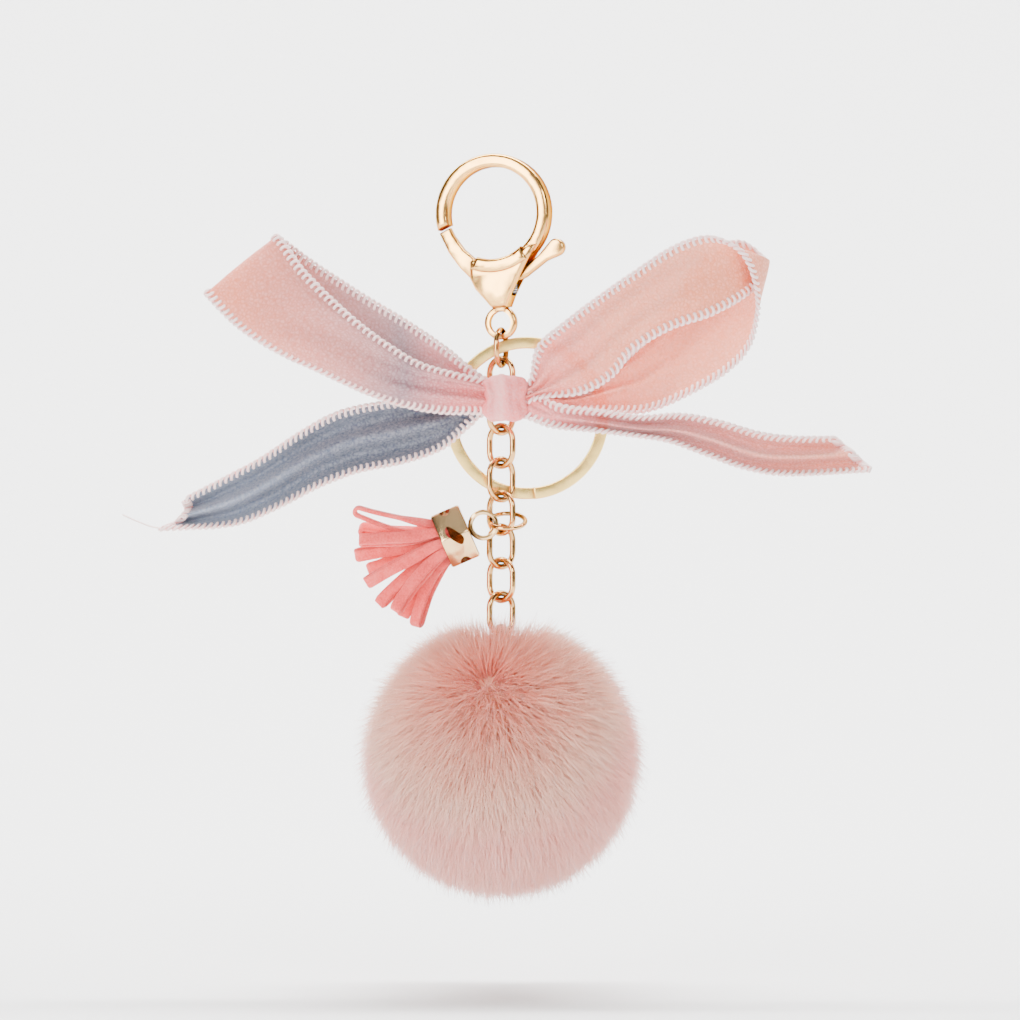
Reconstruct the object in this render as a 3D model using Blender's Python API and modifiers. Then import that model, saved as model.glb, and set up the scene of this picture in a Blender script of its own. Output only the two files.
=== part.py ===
"""Bag-charm key chain: lobster clasp, split ring, chain, ribbon bow, suede tassel and fur pompom.

The charm hangs from the inside top of its hook, which is the origin. +Z is up, -Y is the front, metres.
Every moving body has an empty on its joint, and the empties are parented one under the other.
"""

import math

import bmesh
import bpy
from mathutils import Matrix, Vector

MM = 0.001
GAP = 0.3 * MM  # between neighbours that touch on the real object

# Lobster clasp
HOOK_INSIDE_R = 9.3 * MM
HOOK_OUTSIDE_R = 11.9 * MM
HOOK_DEPTH = 3.8 * MM
BODY_DEPTH = 5.0 * MM
LIP_DEPTH = 5.8 * MM
CAST_EDGE = 0.7 * MM
LIP_EDGE = 0.7 * MM
CLASP_YAW = math.radians(-18)
HOOK_TIP_ANGLE = math.radians(196)
EYE_CENTRE = Vector((1.5, 0, -31.2)) * MM
EYE_INSIDE_R = 2.3 * MM
EYE_OUTSIDE_R = 3.35 * MM
EYE_DEPTH = 1.6 * MM
GATE_PIVOT = Vector((-1.6, 0, -23.8)) * MM
GATE_DEPTH = 1.9 * MM
SLOT_DEPTH = 2.6 * MM
GATE_PIN_R = 0.7 * MM
GATE_HUB_R = 1.9 * MM
PIN_CLEARANCE = 0.15 * MM
SPRING_R = 0.75 * MM
SPRING_WIRE_R = 0.16 * MM
SPRING_BASE = Vector((4.0, 0, -25.5)) * MM
SPRING_HEIGHT = 2.0 * MM
SPRING_TURNS = 4

# Connector link and split key ring
CONNECTOR_LENGTH = 8.3 * MM
CONNECTOR_WIDTH = 7.4 * MM
CONNECTOR_WIRE = 1.1 * MM
CONNECTOR_YAW = math.radians(72)
RING_CENTRE = Vector((6.6, 1.95, -50.2)) * MM
RING_OUTSIDE_R = 16.3 * MM
RING_BAND = 2.3 * MM
RING_TURN_THICKNESS = 0.7 * MM
RING_TURN_PITCH = 0.8 * MM
RING_START = 25  # degrees past the crossing, where the wire begins
RING_LEAN = math.radians(4.5)
RING_SEGMENTS = 48
RING_CROSSING = 250  # degrees from +X

# Chain
LINK_COUNT = 8
LINK_LENGTH = 9.4 * MM
LINK_WIDTH = 7.2 * MM
LINK_WIRE = 1.2 * MM
LINK_YAW = math.radians(40)
LINK_POINTS = 24
WIRE_SIDES = 2  # bevel resolution of every wire
CHAIN_X = EYE_CENTRE.x * math.cos(CLASP_YAW)
CHAIN_Y = EYE_CENTRE.x * math.sin(CLASP_YAW)

# Ribbon
RIBBON_WIDTH = 18.0 * MM
RIBBON_THICKNESS = 0.6 * MM
RIBBON_ACROSS = 4
PLEAT_OPENS = (0.18, 0.42)  # shares of a tail's length where its pleat starts and is full
KNOT_CENTRE = Vector((2.2, -6.5, -46.4)) * MM
KNOT_SIZE = Vector((12.0, 6.4, 11.0)) * MM
TIE_R = (4.9 * MM, 4.4 * MM)
TIE_WIDTH = 4.0 * MM
BOW_LINK = 2

# Tassel
JUMP_CENTRE = Vector((2.7, -3.4, -70.8)) * MM
JUMP_OUTSIDE_R = 4.0 * MM
JUMP_WIRE = 0.9 * MM
JUMP_LEAN = math.radians(25)
JUMP_LINK = 5
TASSEL_EYE = Vector((-2.1, -3.7, -71.6)) * MM
TASSEL_EYE_R = 2.6 * MM
TASSEL_EYE_WIRE = 1.0 * MM
CAP_CENTRE = Vector((-7.7, -3.4, -73.8)) * MM
CAP_TILT = math.radians(23.6)  # of the cap's axis above the horizontal
CAP_LENGTH = 6.0 * MM
CAP_FACET = 6.4 * MM
CAP_WALL = 0.6 * MM
SUEDE_WIDTH = 1.7 * MM
SUEDE_THICKNESS = 0.8 * MM
SUEDE_FOLD = 0.7 * MM  # from the middle of a loop to either leg

# Pompom
POMPOM_R = 26.0 * MM
POMPOM_CENTRE_Z = -118.0 * MM
PELT_INSIDE_R = 13.0 * MM
CORE_R = 12.6 * MM
WELL_R = 6.0 * MM
CORD_WIRE = 1.4 * MM
CORD_LENGTH = 17.0 * MM
CORD_WIDTH = 4.4 * MM
CORD_BORE_R = 2.7 * MM

GOLD = (0.86, 0.62, 0.33)
PALE_GOLD = (0.90, 0.76, 0.48)
OLD_GOLD = (0.50, 0.32, 0.15)
STEEL = (0.6, 0.6, 0.6)
ORGANZA = (0.95, 0.80, 0.76)
SUEDE = (0.88, 0.42, 0.40)
FUR = (0.96, 0.72, 0.64)
FILLING = (0.93, 0.92, 0.90)
CORD = (0.86, 0.66, 0.60)


def mm(points):
    """Points written in millimetres, as vectors in metres."""
    return [Vector(p) * MM for p in points]


def start():
    for old in list(bpy.data.objects):
        bpy.data.objects.remove(old, do_unlink=True)
    groups = []
    for name in ("key_chain", "key_chain_cutters"):
        group = bpy.data.collections.new(name)
        bpy.context.scene.collection.children.link(group)
        groups.append(group)
    return groups


PARTS, CUTTERS = start()


def material(name, colour, roughness, metallic):
    found = bpy.data.materials.get(name)
    if found:
        return found
    made = bpy.data.materials.new(name)
    made.use_nodes = True
    shader = made.node_tree.nodes["Principled BSDF"]
    shader.inputs["Base Color"].default_value = (*colour, 1)
    shader.inputs["Roughness"].default_value = roughness
    shader.inputs["Metallic"].default_value = metallic
    return made


def pivot(name, position, parent=None):
    """An empty on a joint, which carries the pieces of one moving body."""
    empty = bpy.data.objects.new(name, None)
    empty.empty_display_size = 3 * MM
    PARTS.objects.link(empty)
    empty.parent = parent
    world = Vector(position)
    empty["world"] = world
    empty.location = world - Vector(parent["world"]) if parent else world
    return empty


def part(name, data, look, body, matrix=None):
    """A named sub-part under its body's empty. matrix places its data in the world."""
    piece = bpy.data.objects.new(name, data)
    PARTS.objects.link(piece)
    placed = matrix if matrix is not None else Matrix.Identity(4)
    piece.parent = body
    piece.matrix_local = Matrix.Translation(-Vector(body["world"])) @ placed
    if not data.materials:
        data.materials.append(look)
    return piece


def mesh_of(data):
    """The evaluated mesh of a curve, with its caps welded on."""
    holder = bpy.data.objects.new("outline", data)
    bpy.context.scene.collection.objects.link(holder)
    graph = bpy.context.evaluated_depsgraph_get()
    mesh = bpy.data.meshes.new_from_object(holder.evaluated_get(graph))
    bpy.data.objects.remove(holder, do_unlink=True)
    work = bmesh.new()
    work.from_mesh(mesh)
    bmesh.ops.remove_doubles(work, verts=work.verts, dist=1e-6)
    bmesh.ops.dissolve_degenerate(work, edges=work.edges, dist=1e-6)
    work.to_mesh(mesh)
    work.free()
    bpy.data.curves.remove(data)
    return mesh


def plate(name, outlines, depth, edge=0.0):
    """Closed outlines in the XZ plane, inner ones as holes, filled, given a depth along Y and a bevelled edge."""
    curve = bpy.data.curves.new(name, "CURVE")
    curve.dimensions = "2D"
    curve.fill_mode = "BOTH"
    curve.extrude = depth / 2 - edge
    curve.bevel_depth = edge
    curve.bevel_resolution = 2
    curve.offset = -edge
    for outline in outlines:
        spline = curve.splines.new("POLY")
        spline.points.add(len(outline) - 1)
        for point, at in zip(spline.points, outline):
            point.co = (at[0], at[-1], 0, 1)
        spline.use_cyclic_u = True
    mesh = mesh_of(curve)
    mesh.transform(Matrix.Rotation(math.pi / 2, 4, "X"))
    mesh.name = name
    return mesh


def wire(name, points, thickness, closed=True, sides=WIRE_SIDES):
    """A round wire along points, as a curve with filled caps."""
    curve = bpy.data.curves.new(name, "CURVE")
    curve.dimensions = "3D"
    curve.bevel_depth = thickness / 2
    curve.bevel_resolution = sides
    curve.use_fill_caps = not closed
    spline = curve.splines.new("POLY")
    spline.points.add(len(points) - 1)
    for point, at in zip(spline.points, points):
        point.co = (*at, 1)
    spline.use_cyclic_u = closed
    return curve


def arc(centre, radius, start, end, steps):
    """Points in the XZ plane on an arc from one angle to another, in radians."""
    turn = [start + (end - start) * i / steps for i in range(steps + 1)]
    return [
        Vector((centre[0] + radius * math.cos(a), 0, centre[-1] + radius * math.sin(a)))
        for a in turn
    ]


def circle(radius, count, flat="Z"):
    """Points round a circle about the origin, flat along Z or Y."""
    turns = [2 * math.pi * i / count for i in range(count)]
    if flat == "Z":
        return [Vector((radius * math.cos(a), radius * math.sin(a), 0)) for a in turns]
    return [Vector((radius * math.cos(a), 0, radius * math.sin(a))) for a in turns]


def oval(length, width, wire_size, count):
    """Centre line of an upright oval link in the XZ plane, round at both ends."""
    radius = (width - wire_size) / 2
    straight = (length - width) / 2
    half = count // 2
    top = arc((0, straight), radius, 0, math.pi, half - 1)
    bottom = arc((0, -straight), radius, math.pi, 2 * math.pi, half - 1)
    return top + bottom


def smooth_path(points, steps):
    """Points along a smooth curve through the given ones, steps to each stretch."""
    ends = [2 * points[0] - points[1], *points, 2 * points[-1] - points[-2]]
    out = []
    for i in range(len(points) - 1):
        a, b, c, d = ends[i : i + 4]
        for k in range(steps):
            t = k / steps
            out.append(
                0.5
                * (
                    2 * b
                    + (c - a) * t
                    + (2 * a - 5 * b + 4 * c - d) * t**2
                    + (3 * b - a - 3 * c + d) * t**3
                )
            )
    return [*out, points[-1]]


def boolean(target, cutter_mesh, operation, name, matrix=None):
    """Joins or cuts a part with a mesh, which stays in the cutters' collection."""
    cutter = bpy.data.objects.new(name, cutter_mesh)
    CUTTERS.objects.link(cutter)
    cutter.matrix_world = matrix if matrix is not None else Matrix.Identity(4)
    cutter.hide_render = True
    cutter.display_type = "WIRE"
    step = target.modifiers.new(name, "BOOLEAN")
    step.operation = operation
    step.object = cutter
    step.solver = "EXACT"


def solid_of(work, name):
    """A mesh from a bmesh, with every face turned outwards."""
    bmesh.ops.recalc_face_normals(work, faces=work.faces)
    mesh = bpy.data.meshes.new(name)
    work.to_mesh(mesh)
    work.free()
    return mesh


# --- Lobster clasp -------------------------------------------------------------------------------------


def clasp_body(root, yaw):
    """Hook ring open at the gate, funnel body, raised lip and eye, one casting with a slot for the lever."""
    ring = (0, -HOOK_INSIDE_R)
    bottom = math.radians(-60)
    hook = arc(ring, HOOK_OUTSIDE_R, HOOK_TIP_ANGLE, bottom, 36)
    hook += arc(ring, HOOK_INSIDE_R, bottom, HOOK_TIP_ANGLE - math.radians(2.5), 36)
    left = [(-4.4, 0, -19.0), (-4.4, 0, -22.4), (-3.4, 0, -24.4), (0.2, 0, -28.3)]
    right = [(3.2, 0, -28.0), (4.2, 0, -25.4), (5.9, 0, -22.1), (7.4, 0, -19.4), (9.6, 0, -15.6)]
    funnel = mm(left) + mm(right)
    funnel += arc(ring, HOOK_INSIDE_R + 0.5 * MM, math.radians(-42), math.radians(-112), 14)
    lip = arc(ring, HOOK_OUTSIDE_R + 0.1 * MM, math.radians(-50), math.radians(-111), 14)
    lip += arc(ring, HOOK_INSIDE_R - 0.1 * MM, math.radians(-108), math.radians(-47), 14)
    eye = arc(EYE_CENTRE, EYE_OUTSIDE_R, 0, 2 * math.pi, 28)[:-1]
    neck = mm([(0.4, 0, -27.2), (0.5, 0, -29.0), (2.6, 0, -29.0), (3.0, 0, -27.2)])
    eye_hole = arc(EYE_CENTRE, EYE_INSIDE_R, 0, 2 * math.pi, 24)[:-1]

    body = part("clasp_body", plate("clasp_body", [hook], HOOK_DEPTH, CAST_EDGE), GOLD_LOOK, root, yaw)
    joined = (
        ("funnel", [funnel], BODY_DEPTH, CAST_EDGE),
        ("lip", [lip], LIP_DEPTH, LIP_EDGE),
        ("eye", [eye], EYE_DEPTH, 0.4 * MM),
        ("neck", [neck], EYE_DEPTH + 0.8 * MM, 0.3 * MM),
    )
    for name, outlines, depth, edge in joined:
        boolean(body, plate(name, outlines, depth, edge), "UNION", "clasp_" + name, yaw)
    boolean(body, plate("eye_hole", [eye_hole], 2 * BODY_DEPTH), "DIFFERENCE", "clasp_eye_hole", yaw)

    slot = mm([(-9.0, 0, -16.0), (-0.4, 0, -16.6), (0.6, 0, -21.6)])
    slot += arc(ring, HOOK_OUTSIDE_R + 0.25 * MM, math.radians(-83), math.radians(-30), 10)
    slot += mm([(13.0, 0, -16.0), (12.0, 0, -25.3), (-0.8, 0, -26.0), (-9.0, 0, -25.0)])
    boolean(body, plate("slot", [slot], SLOT_DEPTH), "DIFFERENCE", "clasp_slot", yaw)
    pin_hole = arc(GATE_PIVOT, GATE_PIN_R + PIN_CLEARANCE, 0, 2 * math.pi, 20)[:-1]
    hole = plate("pin_hole", [pin_hole], BODY_DEPTH)
    boolean(body, hole, "DIFFERENCE", "clasp_pin_hole", yaw @ Matrix.Translation((0, 0.7 * MM, 0)))


def gate_lever(body, yaw):
    """Gate arm, hub and thumb trigger, one flat lever that turns on the pin."""
    tip = mm([(-11.3, 0, -13.15), (-9.1, 0, -12.05)])
    inner = mm([(-8.3, 0, -13.6), (-6.2, 0, -16.4), (-3.4, 0, -18.7), (-0.9, 0, -20.9)])
    arm_top = mm([(1.5, 0, -22.2), (4.5, 0, -21.4), (7.4, 0, -19.7), (9.7, 0, -17.6)])
    thumb = arc((13.1 * MM, -16.3 * MM), 1.75 * MM, math.radians(125), math.radians(-75), 10)
    arm_under = mm([(11.2, 0, -18.9), (9.2, 0, -20.4), (6.8, 0, -22.2), (3.4, 0, -23.4)])
    hub = arc(GATE_PIVOT, GATE_HUB_R, math.radians(-20), math.radians(-190), 12)
    outer = mm([(-4.7, 0, -22.3), (-7.0, 0, -20.1), (-9.4, 0, -17.0)])
    outline = tip + inner + arm_top + thumb + arm_under + hub + outer
    hole = arc(GATE_PIVOT, GATE_PIN_R + PIN_CLEARANCE, 0, 2 * math.pi, 20)[:-1]
    lever = plate("gate_lever", [outline, hole], GATE_DEPTH, 0.4 * MM)
    part("gate_lever", lever, GOLD_LOOK, body, yaw)


def gate_pin_and_spring(root, yaw):
    """The pin is held in both cheeks, blind at the front. The spring stands under the trigger arm."""
    round_pin = arc(GATE_PIVOT, GATE_PIN_R, 0, 2 * math.pi, 20)[:-1]
    pin = plate("gate_pivot_pin", [round_pin], BODY_DEPTH - 0.9 * MM)
    shift = Matrix.Translation((0, 0.45 * MM, 0))
    part("gate_pivot_pin", pin, STEEL_LOOK, root, yaw @ shift)
    steps = 10 * SPRING_TURNS
    coil = []
    for i in range(steps + 1):
        turn = 2 * math.pi * i / 10
        rise = (SPRING_HEIGHT - 2 * SPRING_WIRE_R) * i / steps + SPRING_WIRE_R
        coil.append(SPRING_BASE + Vector((SPRING_R * math.cos(turn), SPRING_R * math.sin(turn), rise)))
    spring = wire("gate_spring", coil, 2 * SPRING_WIRE_R, closed=False, sides=1)
    part("gate_spring", spring, STEEL_LOOK, root, yaw)


# --- Connector, split ring and chain -------------------------------------------------------------------


def link_top(number):
    """Height of the outside top of a chain link, links hanging one from the other."""
    first = connector_bottom() + CONNECTOR_WIRE + LINK_WIRE + GAP
    return first - (number - 1) * (LINK_LENGTH - 2 * LINK_WIRE - GAP)


def connector_top():
    return EYE_CENTRE.z - EYE_INSIDE_R + 0.4 * MM + CONNECTOR_WIRE


def connector_bottom():
    return connector_top() - CONNECTOR_LENGTH


def connector_link(body):
    middle = Vector((CHAIN_X, CHAIN_Y, connector_top() - CONNECTOR_LENGTH / 2))
    line = oval(CONNECTOR_LENGTH, CONNECTOR_WIDTH, CONNECTOR_WIRE, LINK_POINTS)
    place = Matrix.Translation(middle) @ Matrix.Rotation(CONNECTOR_YAW, 4, "Z")
    part("connector_link", wire("connector_link", line, CONNECTOR_WIRE), OLD_GOLD_LOOK, body, place)


def split_key_ring(body):
    """Flat wire wound twice round, which steps across from one turn to the other between its ends."""
    inside = RING_OUTSIDE_R - RING_BAND
    half = RING_TURN_THICKNESS / 2
    corners = ((inside, -half), (RING_OUTSIDE_R, -half), (RING_OUTSIDE_R, half), (inside, half))
    steps = round((720 - 2 * RING_START) / 360 * RING_SEGMENTS)
    work = bmesh.new()
    rows = []
    for i in range(steps + 1):
        angle = RING_START + (720 - 2 * RING_START) * i / steps
        cross = min(max((angle - 360 + RING_START) / (2 * RING_START), 0), 1)
        rise = RING_TURN_PITCH * (cross * cross * (3 - 2 * cross) - 0.5)
        turn = math.radians(angle + RING_CROSSING)
        row = [
            work.verts.new((r * math.cos(turn), rise + across, r * math.sin(turn)))
            for r, across in corners
        ]
        rows.append(row)
    for one, other in zip(rows, rows[1:]):
        for k in range(4):
            work.faces.new((one[k], one[(k + 1) % 4], other[(k + 1) % 4], other[k]))
    work.faces.new(rows[0])
    work.faces.new(rows[-1][::-1])
    ring = solid_of(work, "split_key_ring")
    lean = Matrix.Translation(RING_CENTRE) @ Matrix.Rotation(RING_LEAN, 4, "X")
    part("split_key_ring", ring, PALE_GOLD_LOOK, body, lean)


def chain(connector):
    """Oval links turned one way and the other. Returns each link's empty."""
    bodies = []
    line = oval(LINK_LENGTH, LINK_WIDTH, LINK_WIRE, LINK_POINTS)
    shape = wire("chain_link", line, LINK_WIRE)
    above = connector
    for number in range(1, LINK_COUNT + 1):
        top = link_top(number)
        hook = top - LINK_WIRE - GAP - (CONNECTOR_WIRE if number == 1 else LINK_WIRE) / 2
        above = pivot(f"joint_chain_{number}", (CHAIN_X, CHAIN_Y, hook), above)
        yaw = LINK_YAW * (-1 if number % 2 else 1)
        place = Matrix.Translation((CHAIN_X, CHAIN_Y, top - LINK_LENGTH / 2)) @ Matrix.Rotation(yaw, 4, "Z")
        part(f"chain_link_{number}", shape, OLD_GOLD_LOOK, above, place)
        bodies.append(above)
    return bodies


# --- Ribbon bow ----------------------------------------------------------------------------------------

# Rails of each stretch of ribbon: upper edge, middle and lower edge, point against point, in millimetres.
LEFT_LOOP = (
    [(-3.0, -4.4, -42.0), (-9.8, -3.0, -36.6), (-18.0, -1.4, -31.0), (-26.2, -0.6, -26.0),
     (-36.0, -0.6, -19.6), (-42.0, -1.2, -15.2), (-43.6, -2.8, -14.0), (-42.2, -4.6, -15.4),
     (-38.4, -6.4, -20.8), (-32.8, -7.8, -26.6), (-26.2, -8.8, -32.4), (-20.0, -9.0, -36.8),
     (-14.8, -8.6, -39.8), (-8.8, -8.0, -41.6), (-3.6, -7.4, -42.8)],
    [(-3.4, -4.0, -44.2), (-11.0, -2.2, -40.6), (-19.5, -0.2, -38.0), (-28.4, 0.6, -34.0),
     (-39.4, 0.6, -27.6), (-48.6, -0.4, -21.0), (-50.4, -2.6, -19.6), (-49.2, -5.2, -21.0),
     (-45.8, -8.0, -27.8), (-38.9, -10.8, -33.0), (-30.2, -12.4, -37.6), (-22.8, -12.4, -41.2),
     (-16.4, -11.4, -43.4), (-9.8, -10.0, -44.6), (-4.0, -8.8, -45.4)],
    [(-3.2, -4.0, -46.6), (-12.0, -2.4, -45.2), (-20.6, 0.0, -44.8), (-30.6, 0.8, -41.4),
     (-42.6, 0.4, -35.6), (-54.4, -0.8, -27.6), (-57.2, -2.6, -25.2), (-56.0, -4.4, -26.6),
     (-50.6, -6.6, -32.0), (-43.0, -8.2, -37.0), (-34.4, -9.0, -41.0), (-26.2, -9.0, -44.8),
     (-18.8, -8.6, -47.4), (-11.4, -7.8, -48.8), (-4.4, -7.0, -49.0)],
)  # fmt: skip
RIGHT_LOOP = (
    [(7.2, -6.6, -43.4), (9.0, -7.2, -36.6), (14.0, -9.2, -32.0), (20.6, -10.0, -27.0),
     (28.4, -10.6, -21.6), (36.0, -11.0, -16.8), (42.8, -11.4, -14.9), (48.6, -11.2, -17.4),
     (51.6, -10.4, -22.6), (52.2, -8.8, -29.0), (50.6, -6.4, -36.0), (45.6, -4.2, -41.2),
     (37.4, -2.8, -45.8), (29.8, -2.2, -48.6), (22.0, -2.4, -48.6), (14.8, -3.4, -48.4),
     (9.4, -4.2, -47.4)],
    [(8.4, -6.8, -44.8), (13.6, -9.0, -40.8), (19.0, -10.0, -37.2), (24.2, -10.8, -32.4),
     (31.6, -11.2, -27.2), (39.8, -11.0, -23.2), (47.4, -8.8, -20.0), (53.6, -4.8, -18.4),
     (54.8, -1.8, -20.0), (52.4, -0.6, -24.0), (48.0, 0.0, -27.4), (42.8, 0.2, -31.6),
     (37.0, 0.0, -36.2), (30.6, -0.4, -40.6), (23.6, -0.8, -43.4), (17.0, -2.0, -46.0),
     (10.2, -3.6, -46.6)],
    [(9.2, -7.4, -46.2), (17.4, -8.8, -45.0), (23.2, -9.6, -41.8), (27.4, -10.2, -36.8),
     (34.6, -10.6, -32.4), (43.2, -10.2, -29.4), (51.2, -6.6, -24.6), (53.8, -0.6, -20.6),
     (53.0, 2.4, -17.0), (49.2, 3.4, -15.0), (44.0, 3.4, -16.4), (39.6, 2.8, -20.8),
     (36.2, 2.0, -26.8), (31.6, 1.2, -32.8), (26.2, 0.2, -38.4), (19.6, -1.2, -43.8),
     (10.8, -3.0, -46.0)],
)  # fmt: skip
LEFT_TAIL = (
    [(-3.2, -3.4, -46.8), (-9.0, -2.0, -47.0), (-15.0, -0.6, -47.0), (-23.0, 0.6, -47.6),
     (-31.0, 1.0, -49.4), (-38.4, 1.0, -53.2), (-46.2, 0.6, -58.4), (-54.0, 0.2, -62.6),
     (-61.8, 0.0, -66.6)],
    [(-3.0, -3.2, -48.2), (-7.4, -2.4, -49.6), (-12.8, -1.6, -51.4), (-20.6, -0.6, -53.2),
     (-29.0, 0.0, -55.0), (-37.0, 0.2, -58.4), (-45.0, 0.0, -63.2), (-53.0, -0.4, -67.0),
     (-62.0, -0.6, -69.8)],
    [(-2.8, -3.0, -49.6), (-5.4, -2.6, -51.8), (-10.4, -2.2, -56.0), (-18.0, -1.2, -58.8),
     (-27.0, -0.6, -60.6), (-35.6, -0.4, -63.9), (-43.8, -0.6, -68.2), (-52.4, -0.8, -71.4),
     (-66.4, -1.0, -72.4)],
)  # fmt: skip
RIGHT_TAIL = (
    [(7.9, -6.6, -45.8), (13.0, -6.6, -48.2), (21.0, -6.2, -49.2), (29.0, -5.4, -50.2),
     (37.0, -4.6, -49.8), (44.6, -4.2, -51.2), (53.0, -4.2, -53.6), (60.0, -4.4, -54.4),
     (67.6, -4.6, -54.4)],
    [(7.8, -7.2, -47.8), (12.6, -7.2, -50.0), (20.4, -6.8, -51.2), (28.4, -6.0, -52.4),
     (36.2, -5.4, -52.8), (43.6, -5.2, -54.6), (51.6, -5.2, -57.4), (59.2, -5.2, -58.0),
     (71.2, -5.2, -57.4)],
    [(6.9, -6.8, -50.0), (11.8, -7.0, -51.8), (19.6, -6.8, -52.8), (27.8, -6.2, -53.8),
     (35.2, -5.8, -55.0), (42.4, -5.6, -57.6), (50.0, -5.6, -60.2), (58.6, -5.6, -61.4),
     (74.6, -5.4, -60.6)],
)  # fmt: skip


def pleat_depth(spanned, along):
    """How deep a tail's two lengthwise pleats are, for the full ribbon to lie in the width that it spans."""
    starts, full = PLEAT_OPENS
    opened = min(max((along - starts) / (full - starts), 0), 1)
    quarter = RIBBON_WIDTH / 4
    return opened * math.sqrt(max(quarter**2 - (spanned / 4) ** 2, 0))


def ribbon(name, rails, body, stretch_steps, pleated=False):
    """A strip of ribbon across its three rails, given its thickness by a Solidify modifier."""
    lines = [smooth_path(mm(rail), stretch_steps) for rail in rails]
    along = len(lines[0])
    work = bmesh.new()
    bmesh.ops.create_grid(work, x_segments=along - 1, y_segments=RIBBON_ACROSS, size=1)
    for corner in work.verts:
        i = round((corner.co.x + 1) / 2 * (along - 1))
        t = (corner.co.y + 1) / 2
        low, middle, high = (line[i] for line in lines)
        bow = 4 * t * (1 - t)
        corner.co = low * (1 - t) + high * t + (middle - (low + high) / 2) * bow
        if pleated:
            depth = pleat_depth((high - low).length, i / (along - 1))
            corner.co.y -= depth / 2 * math.cos(4 * math.pi * t)
    mesh = bpy.data.meshes.new(name)
    work.to_mesh(mesh)
    work.free()
    strip = part(name, mesh, ORGANZA_LOOK, body)
    thick = strip.modifiers.new("cloth", "SOLIDIFY")
    thick.thickness = RIBBON_THICKNESS
    thick.offset = 0
    thick.use_even_offset = False


def ribbon_knot(body):
    """The knot in front of the chain, a rounded block."""
    work = bmesh.new()
    bmesh.ops.create_cube(work, size=1)
    for corner in work.verts:
        corner.co = Vector(a * b for a, b in zip(corner.co, KNOT_SIZE))
    mesh = solid_of(work, "ribbon_knot")
    place = Matrix.Translation(KNOT_CENTRE)
    knot = part("ribbon_knot", mesh, ORGANZA_LOOK, body, place)
    rounder = knot.modifiers.new("rounded", "SUBSURF")
    rounder.levels = 3
    rounder.render_levels = 3


def ribbon_tie(body):
    """The turn of the ribbon behind the chain, a band from one side of the knot to the other."""
    steps = 16
    work = bmesh.new()
    bmesh.ops.create_grid(work, x_segments=steps, y_segments=1, size=1)
    for corner in work.verts:
        turn = math.radians(90 + 118 * corner.co.x)
        bunch = 1 + 0.45 * abs(corner.co.x)
        across = TIE_WIDTH / 2 * bunch * corner.co.y
        x = CHAIN_X + TIE_R[0] * math.cos(turn)
        corner.co = (x, TIE_R[1] * math.sin(turn) - GAP, KNOT_CENTRE.z + across)
    mesh = bpy.data.meshes.new("ribbon_tie")
    work.to_mesh(mesh)
    work.free()
    strip = part("ribbon_tie", mesh, ORGANZA_LOOK, body)
    thick = strip.modifiers.new("cloth", "SOLIDIFY")
    thick.thickness = RIBBON_THICKNESS
    thick.offset = 0


# --- Tassel --------------------------------------------------------------------------------------------


def jump_ring(body):
    line = circle(JUMP_OUTSIDE_R - JUMP_WIRE / 2, 24)
    place = Matrix.Translation(JUMP_CENTRE) @ Matrix.Rotation(JUMP_LEAN, 4, "X")
    part("tassel_jump_ring", wire("tassel_jump_ring", line, JUMP_WIRE), PALE_GOLD_LOOK, body, place)


def hexagon(name, half_width, length):
    """Six-sided bar along +X, with one side to the front."""
    work = bmesh.new()
    bmesh.ops.create_cone(
        work, cap_ends=True, segments=6, radius1=half_width, radius2=half_width, depth=length
    )
    bmesh.ops.rotate(work, verts=work.verts, matrix=Matrix.Rotation(math.pi / 2, 3, "Y"))
    return solid_of(work, name)


def round_bar(name, radius, length, axis, sides=20):
    """Cylinder about its own middle along X, Y or Z."""
    work = bmesh.new()
    bmesh.ops.create_cone(
        work, cap_ends=True, segments=sides, radius1=radius, radius2=radius, depth=length
    )
    if axis != "Z":
        turn = Matrix.Rotation(math.pi / 2, 3, "Y" if axis == "X" else "X")
        bmesh.ops.rotate(work, verts=work.verts, matrix=turn)
    return solid_of(work, name)


def tassel_cap(body):
    """Six-sided cup, closed towards its eye, with a bean-shaped window in front and an oval one each side."""
    place = Matrix.Translation(CAP_CENTRE) @ Matrix.Rotation(-CAP_TILT, 4, "Y")
    cap = part("tassel_cap", hexagon("tassel_cap", CAP_FACET, CAP_LENGTH), PALE_GOLD_LOOK, body, place)
    edges = cap.modifiers.new("edges", "BEVEL")
    edges.width = 0.4 * MM
    edges.segments = 2
    edges.limit_method = "ANGLE"
    inside = hexagon("cup", CAP_FACET - CAP_WALL / math.cos(math.pi / 6), CAP_LENGTH)
    boolean(cap, inside, "DIFFERENCE", "cap_cup", place @ Matrix.Translation((-CAP_WALL, 0, 0)))
    bean = [(-1.5, 0, 1.9), (-1.5, 0, 0.6), (0.3, 0, -1.9), (1.2, 0, -1.5), (1.3, 0, -0.3), (-0.6, 0, 2.3)]
    window = plate("window", [smooth_path(mm([*bean, bean[0]]), 3)[:-1]], 3 * MM)
    front = place @ Matrix.Translation((0.1 * MM, -5.5 * MM, 0))
    boolean(cap, window, "DIFFERENCE", "cap_window", front)
    for name, side in (("upper", 1), ("lower", -1)):
        turn = Matrix.Rotation(math.radians(60 * side), 4, "X")
        bar = round_bar(name, 1.1 * MM, 3 * MM, "Y", 16)
        side_window = place @ turn.inverted() @ Matrix.Translation((0, -5.5 * MM, 0))
        boolean(cap, bar, "DIFFERENCE", f"cap_{name}_window", side_window)
    ring = mesh_of(wire("eye_ring", circle(TASSEL_EYE_R, 24, "Y"), TASSEL_EYE_WIRE))
    boolean(cap, ring, "UNION", "cap_eye", Matrix.Translation(TASSEL_EYE))


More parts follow.
